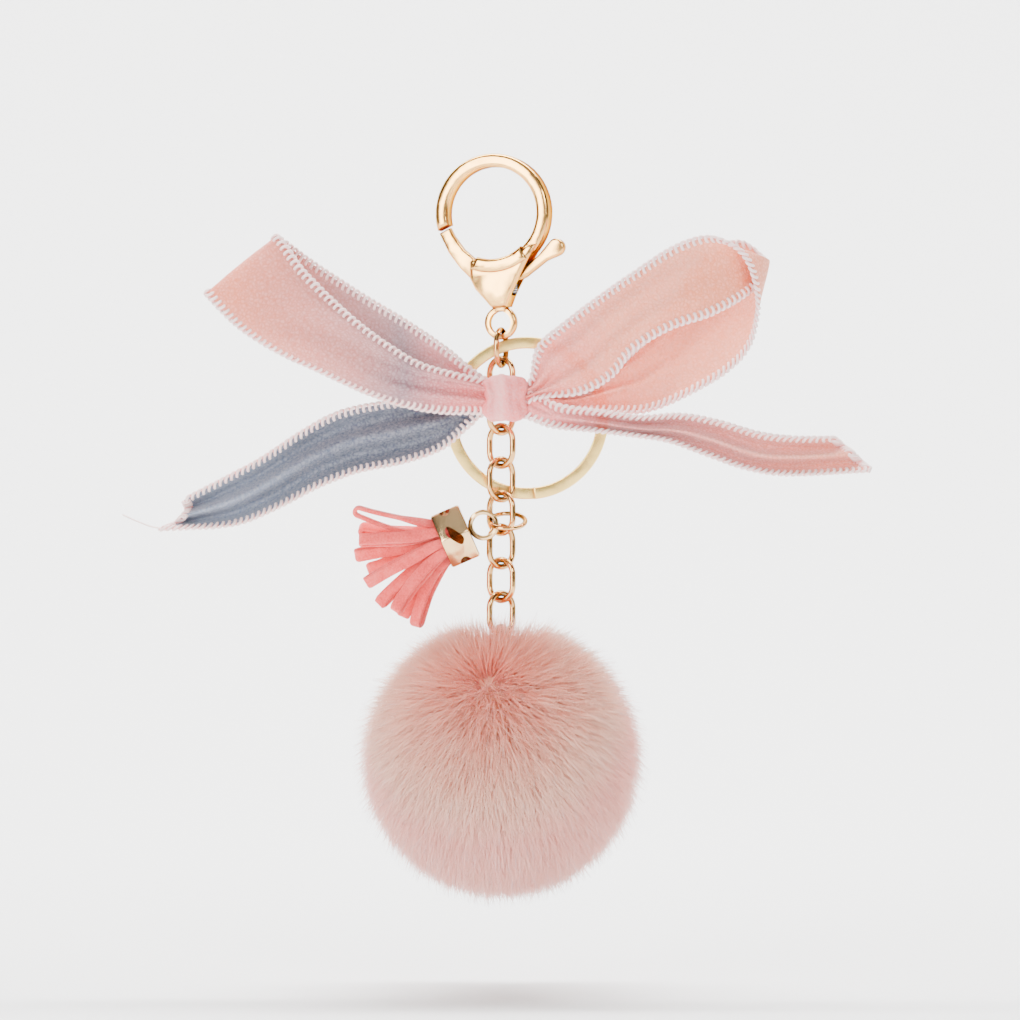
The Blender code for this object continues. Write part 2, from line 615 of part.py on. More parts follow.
def suede_loops(body):
    """Three layers of folded strips, rooted in the cap and fanned out below it."""
    out = Vector((-math.cos(CAP_TILT), 0, -math.sin(CAP_TILT)))
    across = Vector((-out.z, 0, out.x))
    mouth = CAP_CENTRE + out * CAP_LENGTH / 2
    layers = (
        (-2.8, (-1.95, 0.05, 1.95), (24, -6, -34), (11.2, 12.4, 11.4)),
        (0.0, (-3.4, -1.2, 1.2, 3.4), (44, 14, -22, -52), (12.6, 12.6, 12.8, 11.6)),
        (2.8, (-1.95, 0.05, 1.95), (34, 4, -42), (11.6, 11.2, 11.8)),
    )
    number = 1
    for depth, offsets, leans, lengths in layers:
        for offset, lean, length in zip(offsets, leans, lengths):
            root = mouth - out * 2.0 * MM + across * offset * MM + Vector((0, depth * MM, 0))
            bend = root + out * 5.6 * MM
            way = Matrix.Rotation(math.radians(lean), 3, "Y") @ out
            suede_loop(f"tassel_loop_{number}", body, root, bend, bend + way * length * MM)
            number += 1


def suede_loop(name, body, root, bend, end):
    """One strip: a leg out along a bent line, round the fold and back, its flat sides facing front and back."""
    steps = 9
    legs = []
    for i in range(steps + 1):
        t = i / steps
        at = root * (1 - t) ** 2 + bend * 2 * t * (1 - t) + end * t * t
        along = ((bend - root) * (1 - t) + (end - bend) * t).normalized()
        legs.append((at, Vector((-along.z, 0, along.x)), along))
    stations = [(at + Vector((0, -SUEDE_FOLD, 0)), wide) for at, wide, along in legs]
    at, wide, along = legs[-1]
    for a in (-45, 0, 45):
        turn = math.radians(a)
        fold = along * math.cos(turn) * SUEDE_FOLD + Vector((0, math.sin(turn) * SUEDE_FOLD, 0))
        stations.append((at + fold, wide))
    stations += [(at + Vector((0, SUEDE_FOLD, 0)), wide) for at, wide, along in legs[::-1]]
    work = bmesh.new()
    last = len(stations) - 1
    bmesh.ops.create_grid(work, x_segments=last, y_segments=1, size=1)
    for corner in work.verts:
        middle, wide = stations[round((corner.co.x + 1) / 2 * last)]
        corner.co = middle + wide * corner.co.y * SUEDE_WIDTH / 2
    mesh = bpy.data.meshes.new(name)
    work.to_mesh(mesh)
    work.free()
    strip = part(name, mesh, SUEDE_LOOK, body)
    thick = strip.modifiers.new("suede", "SOLIDIFY")
    thick.thickness = SUEDE_THICKNESS
    thick.offset = 0


# --- Pompom --------------------------------------------------------------------------------------------


def ball(name, radius, rings):
    work = bmesh.new()
    bmesh.ops.create_uvsphere(work, u_segments=2 * rings, v_segments=rings, radius=radius)
    return solid_of(work, name)


def pompom(body):
    """Fur pelt round a stuffing ball, with a well at the top for the cord that is sewn into the ball."""
    centre = Vector((CHAIN_X, CHAIN_Y, POMPOM_CENTRE_Z))
    place = Matrix.Translation(centre)
    fur = part("pompom_fur", ball("pompom_fur", POMPOM_R, 16), FUR_LOOK, body, place)
    boolean(fur, ball("pelt_inside", PELT_INSIDE_R, 12), "DIFFERENCE", "pelt_inside", place)
    well = round_bar("well", WELL_R, POMPOM_R, "Z", 24)
    above = Matrix.Translation(centre + Vector((0, 0, PELT_INSIDE_R + 0.4 * POMPOM_R)))
    boolean(fur, well, "DIFFERENCE", "pelt_well", above)
    core = part("pompom_core", ball("pompom_core", CORE_R, 12), FILLING_LOOK, body, place)
    bore = round_bar("cord_bore", CORD_BORE_R, 16 * MM, "Z", 16)
    boolean(core, bore, "DIFFERENCE", "cord_bore", Matrix.Translation(centre + Vector((0, 0, 13 * MM))))
    top = link_top(LINK_COUNT) - LINK_LENGTH + LINK_WIRE + GAP / 2 + CORD_WIRE
    line = oval(CORD_LENGTH, CORD_WIDTH, CORD_WIRE, 20)
    yaw = LINK_YAW + math.pi / 2
    middle = Matrix.Translation((CHAIN_X, CHAIN_Y, top - CORD_LENGTH / 2)) @ Matrix.Rotation(yaw, 4, "Z")
    part("pompom_cord", wire("pompom_cord", line, CORD_WIRE), CORD_LOOK, body, middle)


def build():
    yaw = Matrix.Rotation(CLASP_YAW, 4, "Z")
    root = pivot("clasp", (0, 0, 0))
    clasp_body(root, yaw)
    gate = pivot("joint_gate", yaw @ GATE_PIVOT, root)
    gate_lever(gate, yaw)
    gate_pin_and_spring(root, yaw)

    eye_foot = EYE_CENTRE.z - (EYE_INSIDE_R + EYE_OUTSIDE_R) / 2
    connector = pivot("joint_connector", (CHAIN_X, CHAIN_Y, eye_foot), root)
    connector_link(connector)
    ring = pivot("joint_split_ring", (CHAIN_X, 1.6 * MM, -36.9 * MM), connector)
    split_key_ring(ring)
    links = chain(connector)

    bow = links[BOW_LINK - 1]
    ribbon_knot(bow)
    ribbon("ribbon_left_loop", LEFT_LOOP, bow, 2)
    ribbon("ribbon_right_loop", RIGHT_LOOP, bow, 2)
    ribbon("ribbon_left_tail", LEFT_TAIL, bow, 2, pleated=True)
    ribbon("ribbon_right_tail", RIGHT_TAIL, bow, 2, pleated=True)
    ribbon_tie(bow)

    side = Matrix.Rotation(-LINK_YAW, 3, "Z") @ Vector(((LINK_WIDTH - LINK_WIRE) / 2, 0, 0))
    jump = pivot("joint_jump_ring", (CHAIN_X + side.x, CHAIN_Y + side.y, JUMP_CENTRE.z), links[JUMP_LINK - 1])
    jump_ring(jump)
    left = JUMP_CENTRE - Vector((JUMP_OUTSIDE_R - JUMP_WIRE / 2, 0, 0))
    tassel = pivot("joint_tassel", left, jump)
    tassel_cap(tassel)
    suede_loops(tassel)

    last = link_top(LINK_COUNT) - LINK_LENGTH + LINK_WIRE / 2
    hung = pivot("joint_pompom", (CHAIN_X, CHAIN_Y, last), links[-1])
    pompom(hung)


GOLD_LOOK = material("gold_plate", GOLD, 0.22, 1)
PALE_GOLD_LOOK = material("pale_gold_plate", PALE_GOLD, 0.3, 1)
OLD_GOLD_LOOK = material("old_gold_plate", OLD_GOLD, 0.3, 1)
STEEL_LOOK = material("spring_steel", STEEL, 0.35, 1)
ORGANZA_LOOK = material("organza", ORGANZA, 0.6, 0)
SUEDE_LOOK = material("suede", SUEDE, 0.9, 0)
FUR_LOOK = material("fur", FUR, 0.95, 0)
FILLING_LOOK = material("filling", FILLING, 0.95, 0)
CORD_LOOK = material("cord", CORD, 0.85, 0)

build()
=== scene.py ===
"""Bag-charm key chain: gold clasp, split ring and chain with an organza bow, a suede tassel and a fur pompom.

Lengths are in metres. +Z is up, the front of the bow faces -Y, and the origin is where the hook hangs.
"""

import math

import bmesh
import bpy
import numpy as np
from mathutils import Matrix, Vector


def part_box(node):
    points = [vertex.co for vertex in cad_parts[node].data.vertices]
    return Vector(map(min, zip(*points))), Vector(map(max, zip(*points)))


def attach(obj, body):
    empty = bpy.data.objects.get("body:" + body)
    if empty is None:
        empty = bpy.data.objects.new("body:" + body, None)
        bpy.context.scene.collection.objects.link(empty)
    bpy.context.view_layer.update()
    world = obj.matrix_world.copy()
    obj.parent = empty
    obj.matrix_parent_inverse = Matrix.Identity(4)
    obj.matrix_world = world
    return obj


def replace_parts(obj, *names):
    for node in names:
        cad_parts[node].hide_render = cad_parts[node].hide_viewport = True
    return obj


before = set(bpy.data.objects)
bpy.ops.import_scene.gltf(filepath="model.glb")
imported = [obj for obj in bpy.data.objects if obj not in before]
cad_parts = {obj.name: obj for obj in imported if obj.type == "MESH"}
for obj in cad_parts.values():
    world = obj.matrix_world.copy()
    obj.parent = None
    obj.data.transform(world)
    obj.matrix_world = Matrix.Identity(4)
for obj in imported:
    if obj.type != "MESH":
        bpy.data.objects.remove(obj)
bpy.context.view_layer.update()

MM = 0.001

# --- Camera ---------------------------------------------------------------------------------------------
# A long lens straight in front of the hanging charm, level with the middle of its height, so that the
# chain hangs plumb and the two ends of the bow keep their true widths.

CAMERA_AWAY = 0.9
FIELD = 0.204  # width of the view at the charm
SENSOR = 36

scene = bpy.context.scene
camera_data = bpy.data.cameras.new("camera")
camera_data.sensor_width = SENSOR
camera_data.clip_start = 0.05
camera_data.clip_end = 20
camera_data.lens = SENSOR * CAMERA_AWAY / FIELD
camera = bpy.data.objects.new("camera", camera_data)
scene.collection.objects.link(camera)
camera.location = (3.2 * MM, -CAMERA_AWAY, -68.6 * MM)
camera.rotation_euler = (math.pi / 2, 0, 0)
scene.camera = camera

# --- Floor and studio light -----------------------------------------------------------------------------
# A pale sweep of card runs under and up behind the charm. Three soft boxes light the charm and one the
# card. A tent with dark gaps stands round it all, because polished plate shows only what is around it.


class Value:
    """A number on a node's socket. Operators between values add their Math nodes."""

    def __init__(self, finish, socket):
        self.finish = finish
        self.socket = socket

    def _math(self, operation, *terms):
        return self.finish.add("ShaderNodeMath", {"operation": operation}, dict(enumerate(terms)))

    def __add__(self, other):
        return self._math("ADD", self, other)

    def __radd__(self, other):
        return self._math("ADD", other, self)

    def __sub__(self, other):
        return self._math("SUBTRACT", self, other)

    def __rsub__(self, other):
        return self._math("SUBTRACT", other, self)

    def __mul__(self, other):
        return self._math("MULTIPLY", self, other)

    def __rmul__(self, other):
        return self._math("MULTIPLY", other, self)


class Finish:
    """A material and the nodes that make its look."""

    def __init__(self, name, tree=None):
        if tree is None:
            self.material = bpy.data.materials.new(name)
            self.material.use_nodes = True
            tree = self.material.node_tree
            self.shader = tree.nodes["Principled BSDF"]
        self.tree = tree

    def add(self, kind, settings=None, sockets=None, out=0):
        """A node: its settings first, then the values or links of its sockets. Returns one output."""
        node = self.tree.nodes.new(kind)
        for key, setting in (settings or {}).items():
            if key == "stops":
                self._stops(node.color_ramp, setting)
            else:
                setattr(node, key, setting)
        for key, given in (sockets or {}).items():
            self.feed(node.inputs[key], given)
        return Value(self, node.outputs[out])

    def _stops(self, ramp, stops):
        while len(ramp.elements) < len(stops):
            ramp.elements.new(1)
        for element, (place, colour) in zip(ramp.elements, stops):
            element.position = place
            element.color = (*colour, 1)

    def feed(self, socket, given):
        if isinstance(given, Value):
            self.tree.links.new(given.socket, socket)
        else:
            if socket.type == "RGBA" and len(given) == 3:
                given = (*given, 1)
            socket.default_value = given

    def surface(self, **sockets):
        """Values or links for the shader, its sockets written with _ for each space."""
        for key, given in sockets.items():
            self.feed(self.shader.inputs[key.replace("_", " ")], given)

    def place(self):
        return self.add("ShaderNodeTexCoord", out="Object")

    def noise(self, scale, detail, roughness=0.5):
        """Noise whose features are about 1 / scale metres across."""
        sockets = {"Scale": scale, "Detail": detail, "Roughness": roughness, "Vector": self.place()}
        return self.add("ShaderNodeTexNoise", {}, sockets, out="Fac")

    def ramp(self, value, stops):
        return self.add("ShaderNodeValToRGB", {"stops": stops}, {"Fac": value}, out="Color")

    def blend(self, fraction, one, other, how="MIX"):
        settings = {"data_type": "RGBA", "blend_type": how}
        return self.add("ShaderNodeMix", settings, {0: fraction, 6: one, 7: other}, out=2)

    def along(self, axis, vector):
        """One coordinate of a vector."""
        return self.add("ShaderNodeSeparateXYZ", {}, {"Vector": vector}, out=axis)

    def between(self, value, low, high):
        """0 at low and 1 at high, held at both ends."""
        sockets = {"Value": value, "From Min": low, "From Max": high}
        return self.add("ShaderNodeMapRange", {"clamp": True}, sockets, out="Result")

    def bump(self, height, distance, strength=1.0):
        sockets = {"Height": height, "Distance": distance, "Strength": strength}
        return self.add("ShaderNodeBump", {}, sockets, out="Normal")


def piece(name, data, finish, body):
    """A shown piece that rides on a body of the frame."""
    made = bpy.data.objects.new(name, data)
    scene.collection.objects.link(made)
    data.materials.clear()
    data.materials.append(finish.material)
    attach(made, body)
    return made


def mesh_from(name, points, faces):
    mesh = bpy.data.meshes.new(name)
    mesh.from_pydata([tuple(p) for p in points], [], faces)
    mesh.validate()
    mesh.shade_smooth()
    return mesh


FLOOR_Z = -0.165
CARD_NEAR = -1.6
CARD_BENDS = 0.35  # how far behind the charm the card starts to rise
CARD_BEND_R = 0.4
CARD_TOP = 2.2
CARD_HALF_WIDTH = 2.2

sweep_rows = [(CARD_NEAR, FLOOR_Z), (CARD_BENDS, FLOOR_Z)]
for step in range(1, 13):
    turn = math.pi / 2 * step / 12
    rise = FLOOR_Z + CARD_BEND_R - CARD_BEND_R * math.cos(turn)
    sweep_rows.append((CARD_BENDS + CARD_BEND_R * math.sin(turn), rise))
sweep_rows.append((CARD_BENDS + CARD_BEND_R, CARD_TOP))
sweep_points = [(x, y, z) for y, z in sweep_rows for x in (-CARD_HALF_WIDTH, CARD_HALF_WIDTH)]
sweep_faces = [(2 * i, 2 * i + 1, 2 * i + 3, 2 * i + 2) for i in range(len(sweep_rows) - 1)]
card = Finish("pale_card")
grain = card.noise(900, 3)
card.surface(Base_Color=card.ramp(grain, [(0.3, (0.93, 0.93, 0.925)), (0.7, (0.95, 0.95, 0.945))]))
card.surface(Roughness=0.85, Normal=card.bump(grain, 0.05 * MM))
sweep = bpy.data.objects.new("sweep", mesh_from("sweep", sweep_points, sweep_faces))
scene.collection.objects.link(sweep)
sweep.data.materials.append(card.material)


def soft_box(name, place, aim, size, power):
    light = bpy.data.lights.new(name, "AREA")
    light.shape = "RECTANGLE"
    light.size = size[0]
    light.size_y = size[1]
    light.energy = power
    lamp = bpy.data.objects.new(name, light)
    scene.collection.objects.link(lamp)
    lamp.location = place
    lamp.rotation_euler = (Vector(aim) - Vector(place)).to_track_quat("-Z", "Y").to_euler()


MIDDLE = (0, 0, -0.07)
TENT_STRENGTH = 0.6
soft_box("key_box", (-0.55, -0.75, 0.12), MIDDLE, (0.34, 0.6), 8.4)
soft_box("fill_box", (0.35, -0.95, 0.3), MIDDLE, (0.3, 0.3), 4.4)
soft_box("top_box", (0.1, 0.15, 0.75), MIDDLE, (0.5, 0.3), 2.2)
soft_box("backdrop_box", (0.0, 0.2, 1.0), (0, 0.75, 0.0), (1.8, 0.2), 62)

world = bpy.data.worlds.new("tent")
scene.world = world
world.use_nodes = True
tent = Finish("tent", world.node_tree)
sky = tent.add("ShaderNodeTexCoord", out="Generated")
upright = tent.along(2, sky)
sideways = tent.along(0, sky)
by_height = tent.ramp(
    upright * 0.5 + 0.5,
    [
        (0.0, (0.55, 0.52, 0.50)),
        (0.36, (0.70, 0.67, 0.64)),
        (0.42, (0.05, 0.03, 0.02)),
        (0.455, (0.80, 0.77, 0.74)),
        (0.60, (1.0, 0.98, 0.96)),
        (0.68, (0.12, 0.09, 0.07)),
        (0.76, (0.9, 0.9, 0.9)),
        (1.0, (1.0, 1.0, 1.0)),
    ],
)
by_side = tent.ramp(
    sideways * 0.5 + 0.5,
    [
        (0.0, (0.5, 0.48, 0.46)),
        (0.14, (0.02, 0.012, 0.008)),
        (0.30, (0.9, 0.9, 0.9)),
        (0.42, (1.0, 1.0, 1.0)),
        (0.60, (0.80, 0.78, 0.75)),
        (0.78, (0.02, 0.012, 0.008)),
        (1.0, (0.6, 0.58, 0.55)),
    ],
)
panels = tent.blend(1.0, by_height, by_side, "MULTIPLY")
tent.feed(world.node_tree.nodes["Background"].inputs["Color"], panels)
world.node_tree.nodes["Background"].inputs["Strength"].default_value = TENT_STRENGTH

# --- Lobster clasp --------------------------------------------------------------------------------------
# A hook ring, raised lip, hollow funnel body and fixed eye, cast in zinc as one and plated yellow gold.
# The lever is a second casting, sprung shut against the hook's tip, on a steel pin through both cheeks.


def plate_finish(name, light, dark, rim, roughness, wear=0.5):
    """Polished plate: ripple, rubbing marks, darker blotches, painted shade in the occluded hollows, and a
    darker rim as it turns away.
    """
    plated = Finish(name)
    ripple = plated.noise(170, 2)
    marks = plated.noise(5200, 3, 0.7)
    blotch = plated.noise(260, 5, 0.6)
    occlusion_shade = plated.add("ShaderNodeAmbientOcclusion", {"samples": 8}, {"Distance": 2.2 * MM}, out="AO")
    # Painted shade: the dark colour is laid into occluded hollows, mixed with random darker blotches.
    shade = plated.between(occlusion_shade * 0.8 + blotch * 0.35, 0.45, 0.98)
    plated.surface(Base_Color=plated.blend(shade, dark, light), Metallic=1.0, Specular_Tint=(*rim, 1))
    plated.surface(Roughness=roughness + (marks - 0.5) * 0.18 * wear + (1 - shade) * 0.15)
    plated.surface(Normal=plated.bump(ripple + marks * 0.02, 0.5 * MM, 0.5))
    return plated


# The second colour of each plate is the painted shade of its hollows, also used for its blotches.
gold = plate_finish("yellow_gold_plate", (0.98, 0.55, 0.17), (0.22, 0.07, 0.01), (0.20, 0.07, 0.02), 0.16)
steel = plate_finish("spring_steel", (0.62, 0.61, 0.60), (0.2, 0.19, 0.18), (0.8, 0.8, 0.8), 0.3)


WELD_REACH = 0.001 * MM
CRISP_ANGLE = math.radians(34)


def dress(node, finish):
    """Gives a node of the frame its finish, and turns its facets into smooth faces with crisp edges."""
    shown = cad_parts[node]
    for one in shown.material_slots:
        one.material = finish.material
    weld = shown.modifiers.new("weld", "WELD")
    weld.merge_threshold = WELD_REACH
    shown.data.shade_smooth()
    crisp = shown.modifiers.new("crisp", "EDGE_SPLIT")
    crisp.split_angle = CRISP_ANGLE


for node in ("clasp_body", "gate_lever"):
    dress(node, gold)
for node in ("gate_pivot_pin", "gate_spring"):
    dress(node, steel)

# --- Connector link and chain ---------------------------------------------------------------------------
# Oval links bent from round brass wire and butted shut, plated and then toned down to an old copper gold.
# The connector joins the clasp's eye to the split ring, and a chain of eight links hangs below it.

CONNECTOR_WIDTH = 7.4 * MM
CONNECTOR_WIRE = 1.1 * MM
CONNECTOR_YAW = math.radians(72)
LINK_COUNT = 8
LINK_WIDTH = 7.2 * MM
LINK_WIRE = 1.2 * MM
LINK_YAW = 40  # degrees, to either side in turn


def wire_curve(name, points, thickness, closed=True, sides=5):
    curve = bpy.data.curves.new(name, "CURVE")
    curve.dimensions = "3D"
    curve.bevel_depth = thickness / 2
    curve.bevel_resolution = sides
    curve.use_fill_caps = not closed
    line = curve.splines.new("POLY")
    line.points.add(len(points) - 1)
    for point, at in zip(line.points, points):
        point.co = (*at, 1)
    line.use_cyclic_u = closed
    line.use_smooth = True
    return curve


def oval_link(node, width, thickness, yaw, finish, body):
    """A smooth link in place of the frame's plain one, with the same wire, size and turn."""
    low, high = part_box(node)
    centre = (low + high) / 2
    straight = (high.z - low.z - width) / 2
    radius = (width - thickness) / 2
    turned = Matrix.Translation(centre) @ Matrix.Rotation(yaw, 4, "Z")
    points = []
    for side, start in ((1, 0.0), (-1, math.pi)):
        for step in range(25):
            turn = start + math.pi * step / 24
            at = Vector((radius * math.cos(turn), 0, side * straight + radius * math.sin(turn)))
            points.append(turned @ at)
    link = piece("shown_" + node, wire_curve("shown_" + node, points, thickness), finish, body)
    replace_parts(link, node)


# Its near black second colour is painted shade for the hollows of the links.
old_gold = plate_finish(
    "old_gold_plate", (0.84, 0.47, 0.18), (0.02, 0.007, 0.002), (0.05, 0.02, 0.01), 0.15, 0.8
)
oval_link("connector_link", CONNECTOR_WIDTH, CONNECTOR_WIRE, CONNECTOR_YAW, old_gold, "connector")
for number in range(1, LINK_COUNT + 1):
    yaw = math.radians(-LINK_YAW if number % 2 else LINK_YAW)
    oval_link(f"chain_link_{number}", LINK_WIDTH, LINK_WIRE, yaw, old_gold, f"link_{number}")

# --- Split key ring -------------------------------------------------------------------------------------
# Flat spring wire wound twice round and stepped across between its two ends, so that keys slide in.
# The edges of the wire are rounded by tumbling before it is plated pale gold.

RING_CENTRE = Vector((6.6, 1.95, -50.2)) * MM
RING_MEAN_R = 15.15 * MM
RING_BAND = 2.3 * MM
RING_WIRE = 0.7 * MM
RING_PITCH = 0.8 * MM
RING_EDGE = 0.22 * MM
RING_LEAN = math.radians(4.5)
RING_START = 25  # degrees past the crossing, where the wire begins
RING_CROSSING = 250  # degrees from +X
RING_STEPS = 320

# Its orange brown second colour is painted shade for the hollows of the ring.
pale_gold = plate_finish(
    "pale_gold_plate", (1.0, 0.70, 0.22), (0.55, 0.25, 0.05), (0.45, 0.20, 0.05), 0.25, 0.6
)


def rounded_section(across, thick, radius, steps=3):
    """Points round a flat wire's section, corner by corner."""
    corners = ((1, 1, 0), (-1, 1, 90), (-1, -1, 180), (1, -1, 270))
    section = []
    for x, y, start in corners:
        for step in range(steps + 1):
            turn = math.radians(start + 90 * step / steps)
            section.append(
                (
                    x * (across / 2 - radius) + radius * math.cos(turn),
                    y * (thick / 2 - radius) + radius * math.sin(turn),
                )
            )
    return section


def lofted(name, rows):
    """A skin over rows of points, each row a closed ring, with both ends closed."""
    count = len(rows[0])
    points = [p for row in rows for p in row]
    faces = []
    for i in range(len(rows) - 1):
        for k in range(count):
            after = (k + 1) % count
            a, b = i * count, (i + 1) * count
            faces.append((a + k, a + after, b + after, b + k))
    faces.append(tuple(range(count))[::-1])
    faces.append(tuple((len(rows) - 1) * count + k for k in range(count)))
    return mesh_from(name, points, faces)


ring_section = rounded_section(RING_BAND, RING_WIRE, RING_EDGE)
ring_place = Matrix.Translation(RING_CENTRE) @ Matrix.Rotation(RING_LEAN, 4, "X")
ring_rows = []
for step in range(RING_STEPS + 1):
    angle = RING_START + (720 - 2 * RING_START) * step / RING_STEPS
    cross = min(max((angle - 360 + RING_START) / (2 * RING_START), 0), 1)
    rise = RING_PITCH * (cross * cross * (3 - 2 * cross) - 0.5)
    turn = math.radians(angle + RING_CROSSING)
    around = Vector((math.cos(turn), 0, math.sin(turn)))
    ring_rows.append(
        [ring_place @ (around * (RING_MEAN_R + r) + Vector((0, rise + y, 0))) for r, y in ring_section]
    )
ring_mesh = lofted("shown_split_ring", ring_rows)
split_ring = piece("shown_split_ring", ring_mesh, pale_gold, "split_ring")
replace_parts(split_ring, "split_key_ring")

# --- Ribbon bow -----------------------------------------------------------------------------------------
# One length of sheer organza ribbon, woven of crimped nylon and overlocked along both edges with pink
# thread. It is tied round the chain in a bow: two loops, two slant-cut tails and a pleated knot.

# Each stretch is given by its upper edge, middle and lower edge, point against point, in millimetres.
LEFT_LOOP = (
    [(-3.0, -4.4, -42.0), (-9.8, -3.0, -36.6), (-18.0, -1.4, -31.0), (-26.2, -0.6, -26.0),
     (-36.0, -0.6, -19.6), (-42.0, -1.2, -15.2), (-43.6, -2.8, -14.0), (-42.2, -4.6, -15.4),
     (-38.4, -6.4, -20.8), (-32.8, -7.8, -26.6), (-26.2, -8.8, -32.4), (-20.0, -9.0, -36.8),
     (-14.8, -8.6, -39.8), (-8.8, -8.0, -41.6), (-3.6, -7.4, -42.8)],
    [(-3.4, -4.0, -44.2), (-11.0, -2.2, -40.6), (-19.5, -0.2, -38.0), (-28.4, 0.6, -34.0),
     (-39.4, 0.6, -27.6), (-48.6, -0.4, -21.0), (-50.4, -2.6, -19.6), (-49.2, -5.2, -21.0),
     (-45.8, -8.0, -27.8), (-38.9, -10.8, -33.0), (-30.2, -12.4, -37.6), (-22.8, -12.4, -41.2),
     (-16.4, -11.4, -43.4), (-9.8, -10.0, -44.6), (-4.0, -8.8, -45.4)],
    [(-3.2, -4.0, -46.6), (-12.0, -2.4, -45.2), (-20.6, 0.0, -44.8), (-30.6, 0.8, -41.4),
     (-42.6, 0.4, -35.6), (-54.4, -0.8, -27.6), (-57.2, -2.6, -25.2), (-56.0, -4.4, -26.6),
     (-50.6, -6.6, -32.0), (-43.0, -8.2, -37.0), (-34.4, -9.0, -41.0), (-26.2, -9.0, -44.8),
     (-18.8, -8.6, -47.4), (-11.4, -7.8, -48.8), (-4.4, -7.0, -49.0)],
)  # fmt: skip
RIGHT_LOOP = (
    [(7.2, -6.6, -43.4), (9.0, -7.2, -36.6), (14.0, -9.2, -32.0), (20.6, -10.0, -27.0),
     (28.4, -10.6, -21.6), (36.0, -11.0, -16.8), (42.8, -11.4, -14.9), (48.6, -11.2, -17.4),
     (51.6, -10.4, -22.6), (52.2, -8.8, -29.0), (50.6, -6.4, -36.0), (45.6, -4.2, -41.2),
     (37.4, -2.8, -45.8), (29.8, -2.2, -48.6), (22.0, -2.4, -48.6), (14.8, -3.4, -48.4),
     (9.4, -4.2, -47.4)],
    [(8.4, -6.8, -44.8), (13.6, -9.0, -40.8), (19.0, -10.0, -37.2), (24.2, -10.8, -32.4),
     (31.6, -11.2, -27.2), (39.8, -11.0, -23.2), (47.4, -8.8, -20.0), (53.6, -4.8, -18.4),
     (54.8, -1.8, -20.0), (52.4, -0.6, -24.0), (48.0, 0.0, -27.4), (42.8, 0.2, -31.6),
     (37.0, 0.0, -36.2), (30.6, -0.4, -40.6), (23.6, -0.8, -43.4), (17.0, -2.0, -46.0),
     (10.2, -3.6, -46.6)],
    [(9.2, -7.4, -46.2), (17.4, -8.8, -45.0), (23.2, -9.6, -41.8), (27.4, -10.2, -36.8),
     (34.6, -10.6, -32.4), (43.2, -10.2, -29.4), (51.2, -6.6, -24.6), (53.8, -0.6, -20.6),
     (53.0, 2.4, -17.0), (49.2, 3.4, -15.0), (44.0, 3.4, -16.4), (39.6, 2.8, -20.8),
     (36.2, 2.0, -26.8), (31.6, 1.2, -32.8), (26.2, 0.2, -38.4), (19.6, -1.2, -43.8),
     (10.8, -3.0, -46.0)],
)  # fmt: skip
LEFT_TAIL = (
    [(-3.2, -3.4, -46.8), (-9.0, -2.0, -47.0), (-15.0, -0.6, -47.0), (-23.0, 0.6, -47.6),
     (-31.0, 1.0, -49.4), (-38.4, 1.0, -53.2), (-46.2, 0.6, -58.4), (-54.0, 0.2, -62.6),
     (-61.8, 0.0, -66.6)],
    [(-3.0, -3.2, -48.2), (-7.4, -2.4, -49.6), (-12.8, -1.6, -51.4), (-20.6, -0.6, -53.2),
     (-29.0, 0.0, -55.0), (-37.0, 0.2, -58.4), (-45.0, 0.0, -63.2), (-53.0, -0.4, -67.0),
     (-62.0, -0.6, -69.8)],
    [(-2.8, -3.0, -49.6), (-5.4, -2.6, -51.8), (-10.4, -2.2, -56.0), (-18.0, -1.2, -58.8),
     (-27.0, -0.6, -60.6), (-35.6, -0.4, -63.9), (-43.8, -0.6, -68.2), (-52.4, -0.8, -71.4),
     (-66.4, -1.0, -72.4)],
)  # fmt: skip
RIGHT_TAIL = (
    [(7.9, -6.6, -45.8), (13.0, -6.6, -48.2), (21.0, -6.2, -49.2), (29.0, -5.4, -50.2),
     (37.0, -4.6, -49.8), (44.6, -4.2, -51.2), (53.0, -4.2, -53.6), (60.0, -4.4, -54.4),
     (67.6, -4.6, -54.4)],
    [(7.8, -7.2, -47.8), (12.6, -7.2, -50.0), (20.4, -6.8, -51.2), (28.4, -6.0, -52.4),
     (36.2, -5.4, -52.8), (43.6, -5.2, -54.6), (51.6, -5.2, -57.4), (59.2, -5.2, -58.0),
     (71.2, -5.2, -57.4)],
    [(6.9, -6.8, -50.0), (11.8, -7.0, -51.8), (19.6, -6.8, -52.8), (27.8, -6.2, -53.8),
     (35.2, -5.8, -55.0), (42.4, -5.6, -57.6), (50.0, -5.6, -60.2), (58.6, -5.6, -61.4),
     (74.6, -5.4, -60.6)],
)  # fmt: skip


def smooth_path(points, steps):
    """Points along a smooth curve through the given ones, steps to each stretch."""
    ends = [2 * points[0] - points[1], *points, 2 * points[-1] - points[-2]]
    out = []
    for i in range(len(points) - 1):
        a, b, c, d = ends[i : i + 4]
        for k in range(steps):
            t = k / steps
            run = (c - a) * t + (2 * a - 5 * b + 4 * c - d) * t**2 + (3 * b - a - 3 * c + d) * t**3
            out.append(0.5 * (2 * b + run))
    return [*out, points[-1]]


RIBBON_WIDTH = 18 * MM
RIBBON_ACROSS = 24
RAIL_STEPS = 7
CLOTH_THICK = 0.12 * MM
PLEAT_OPENS = (0.18, 0.42)  # shares of a tail's length where its pleats start and are full
KNOT_MIDDLE_Y = -5.6
KNOT_MIDDLE_Z = -46.4
KNOT_GRIP = 2.6  # how far the ribbon's edges lie from its middle inside the knot
LEFT_INTO_KNOT = 1.6
RIGHT_INTO_KNOT = 2.8
RIPPLE = 0.16 * MM


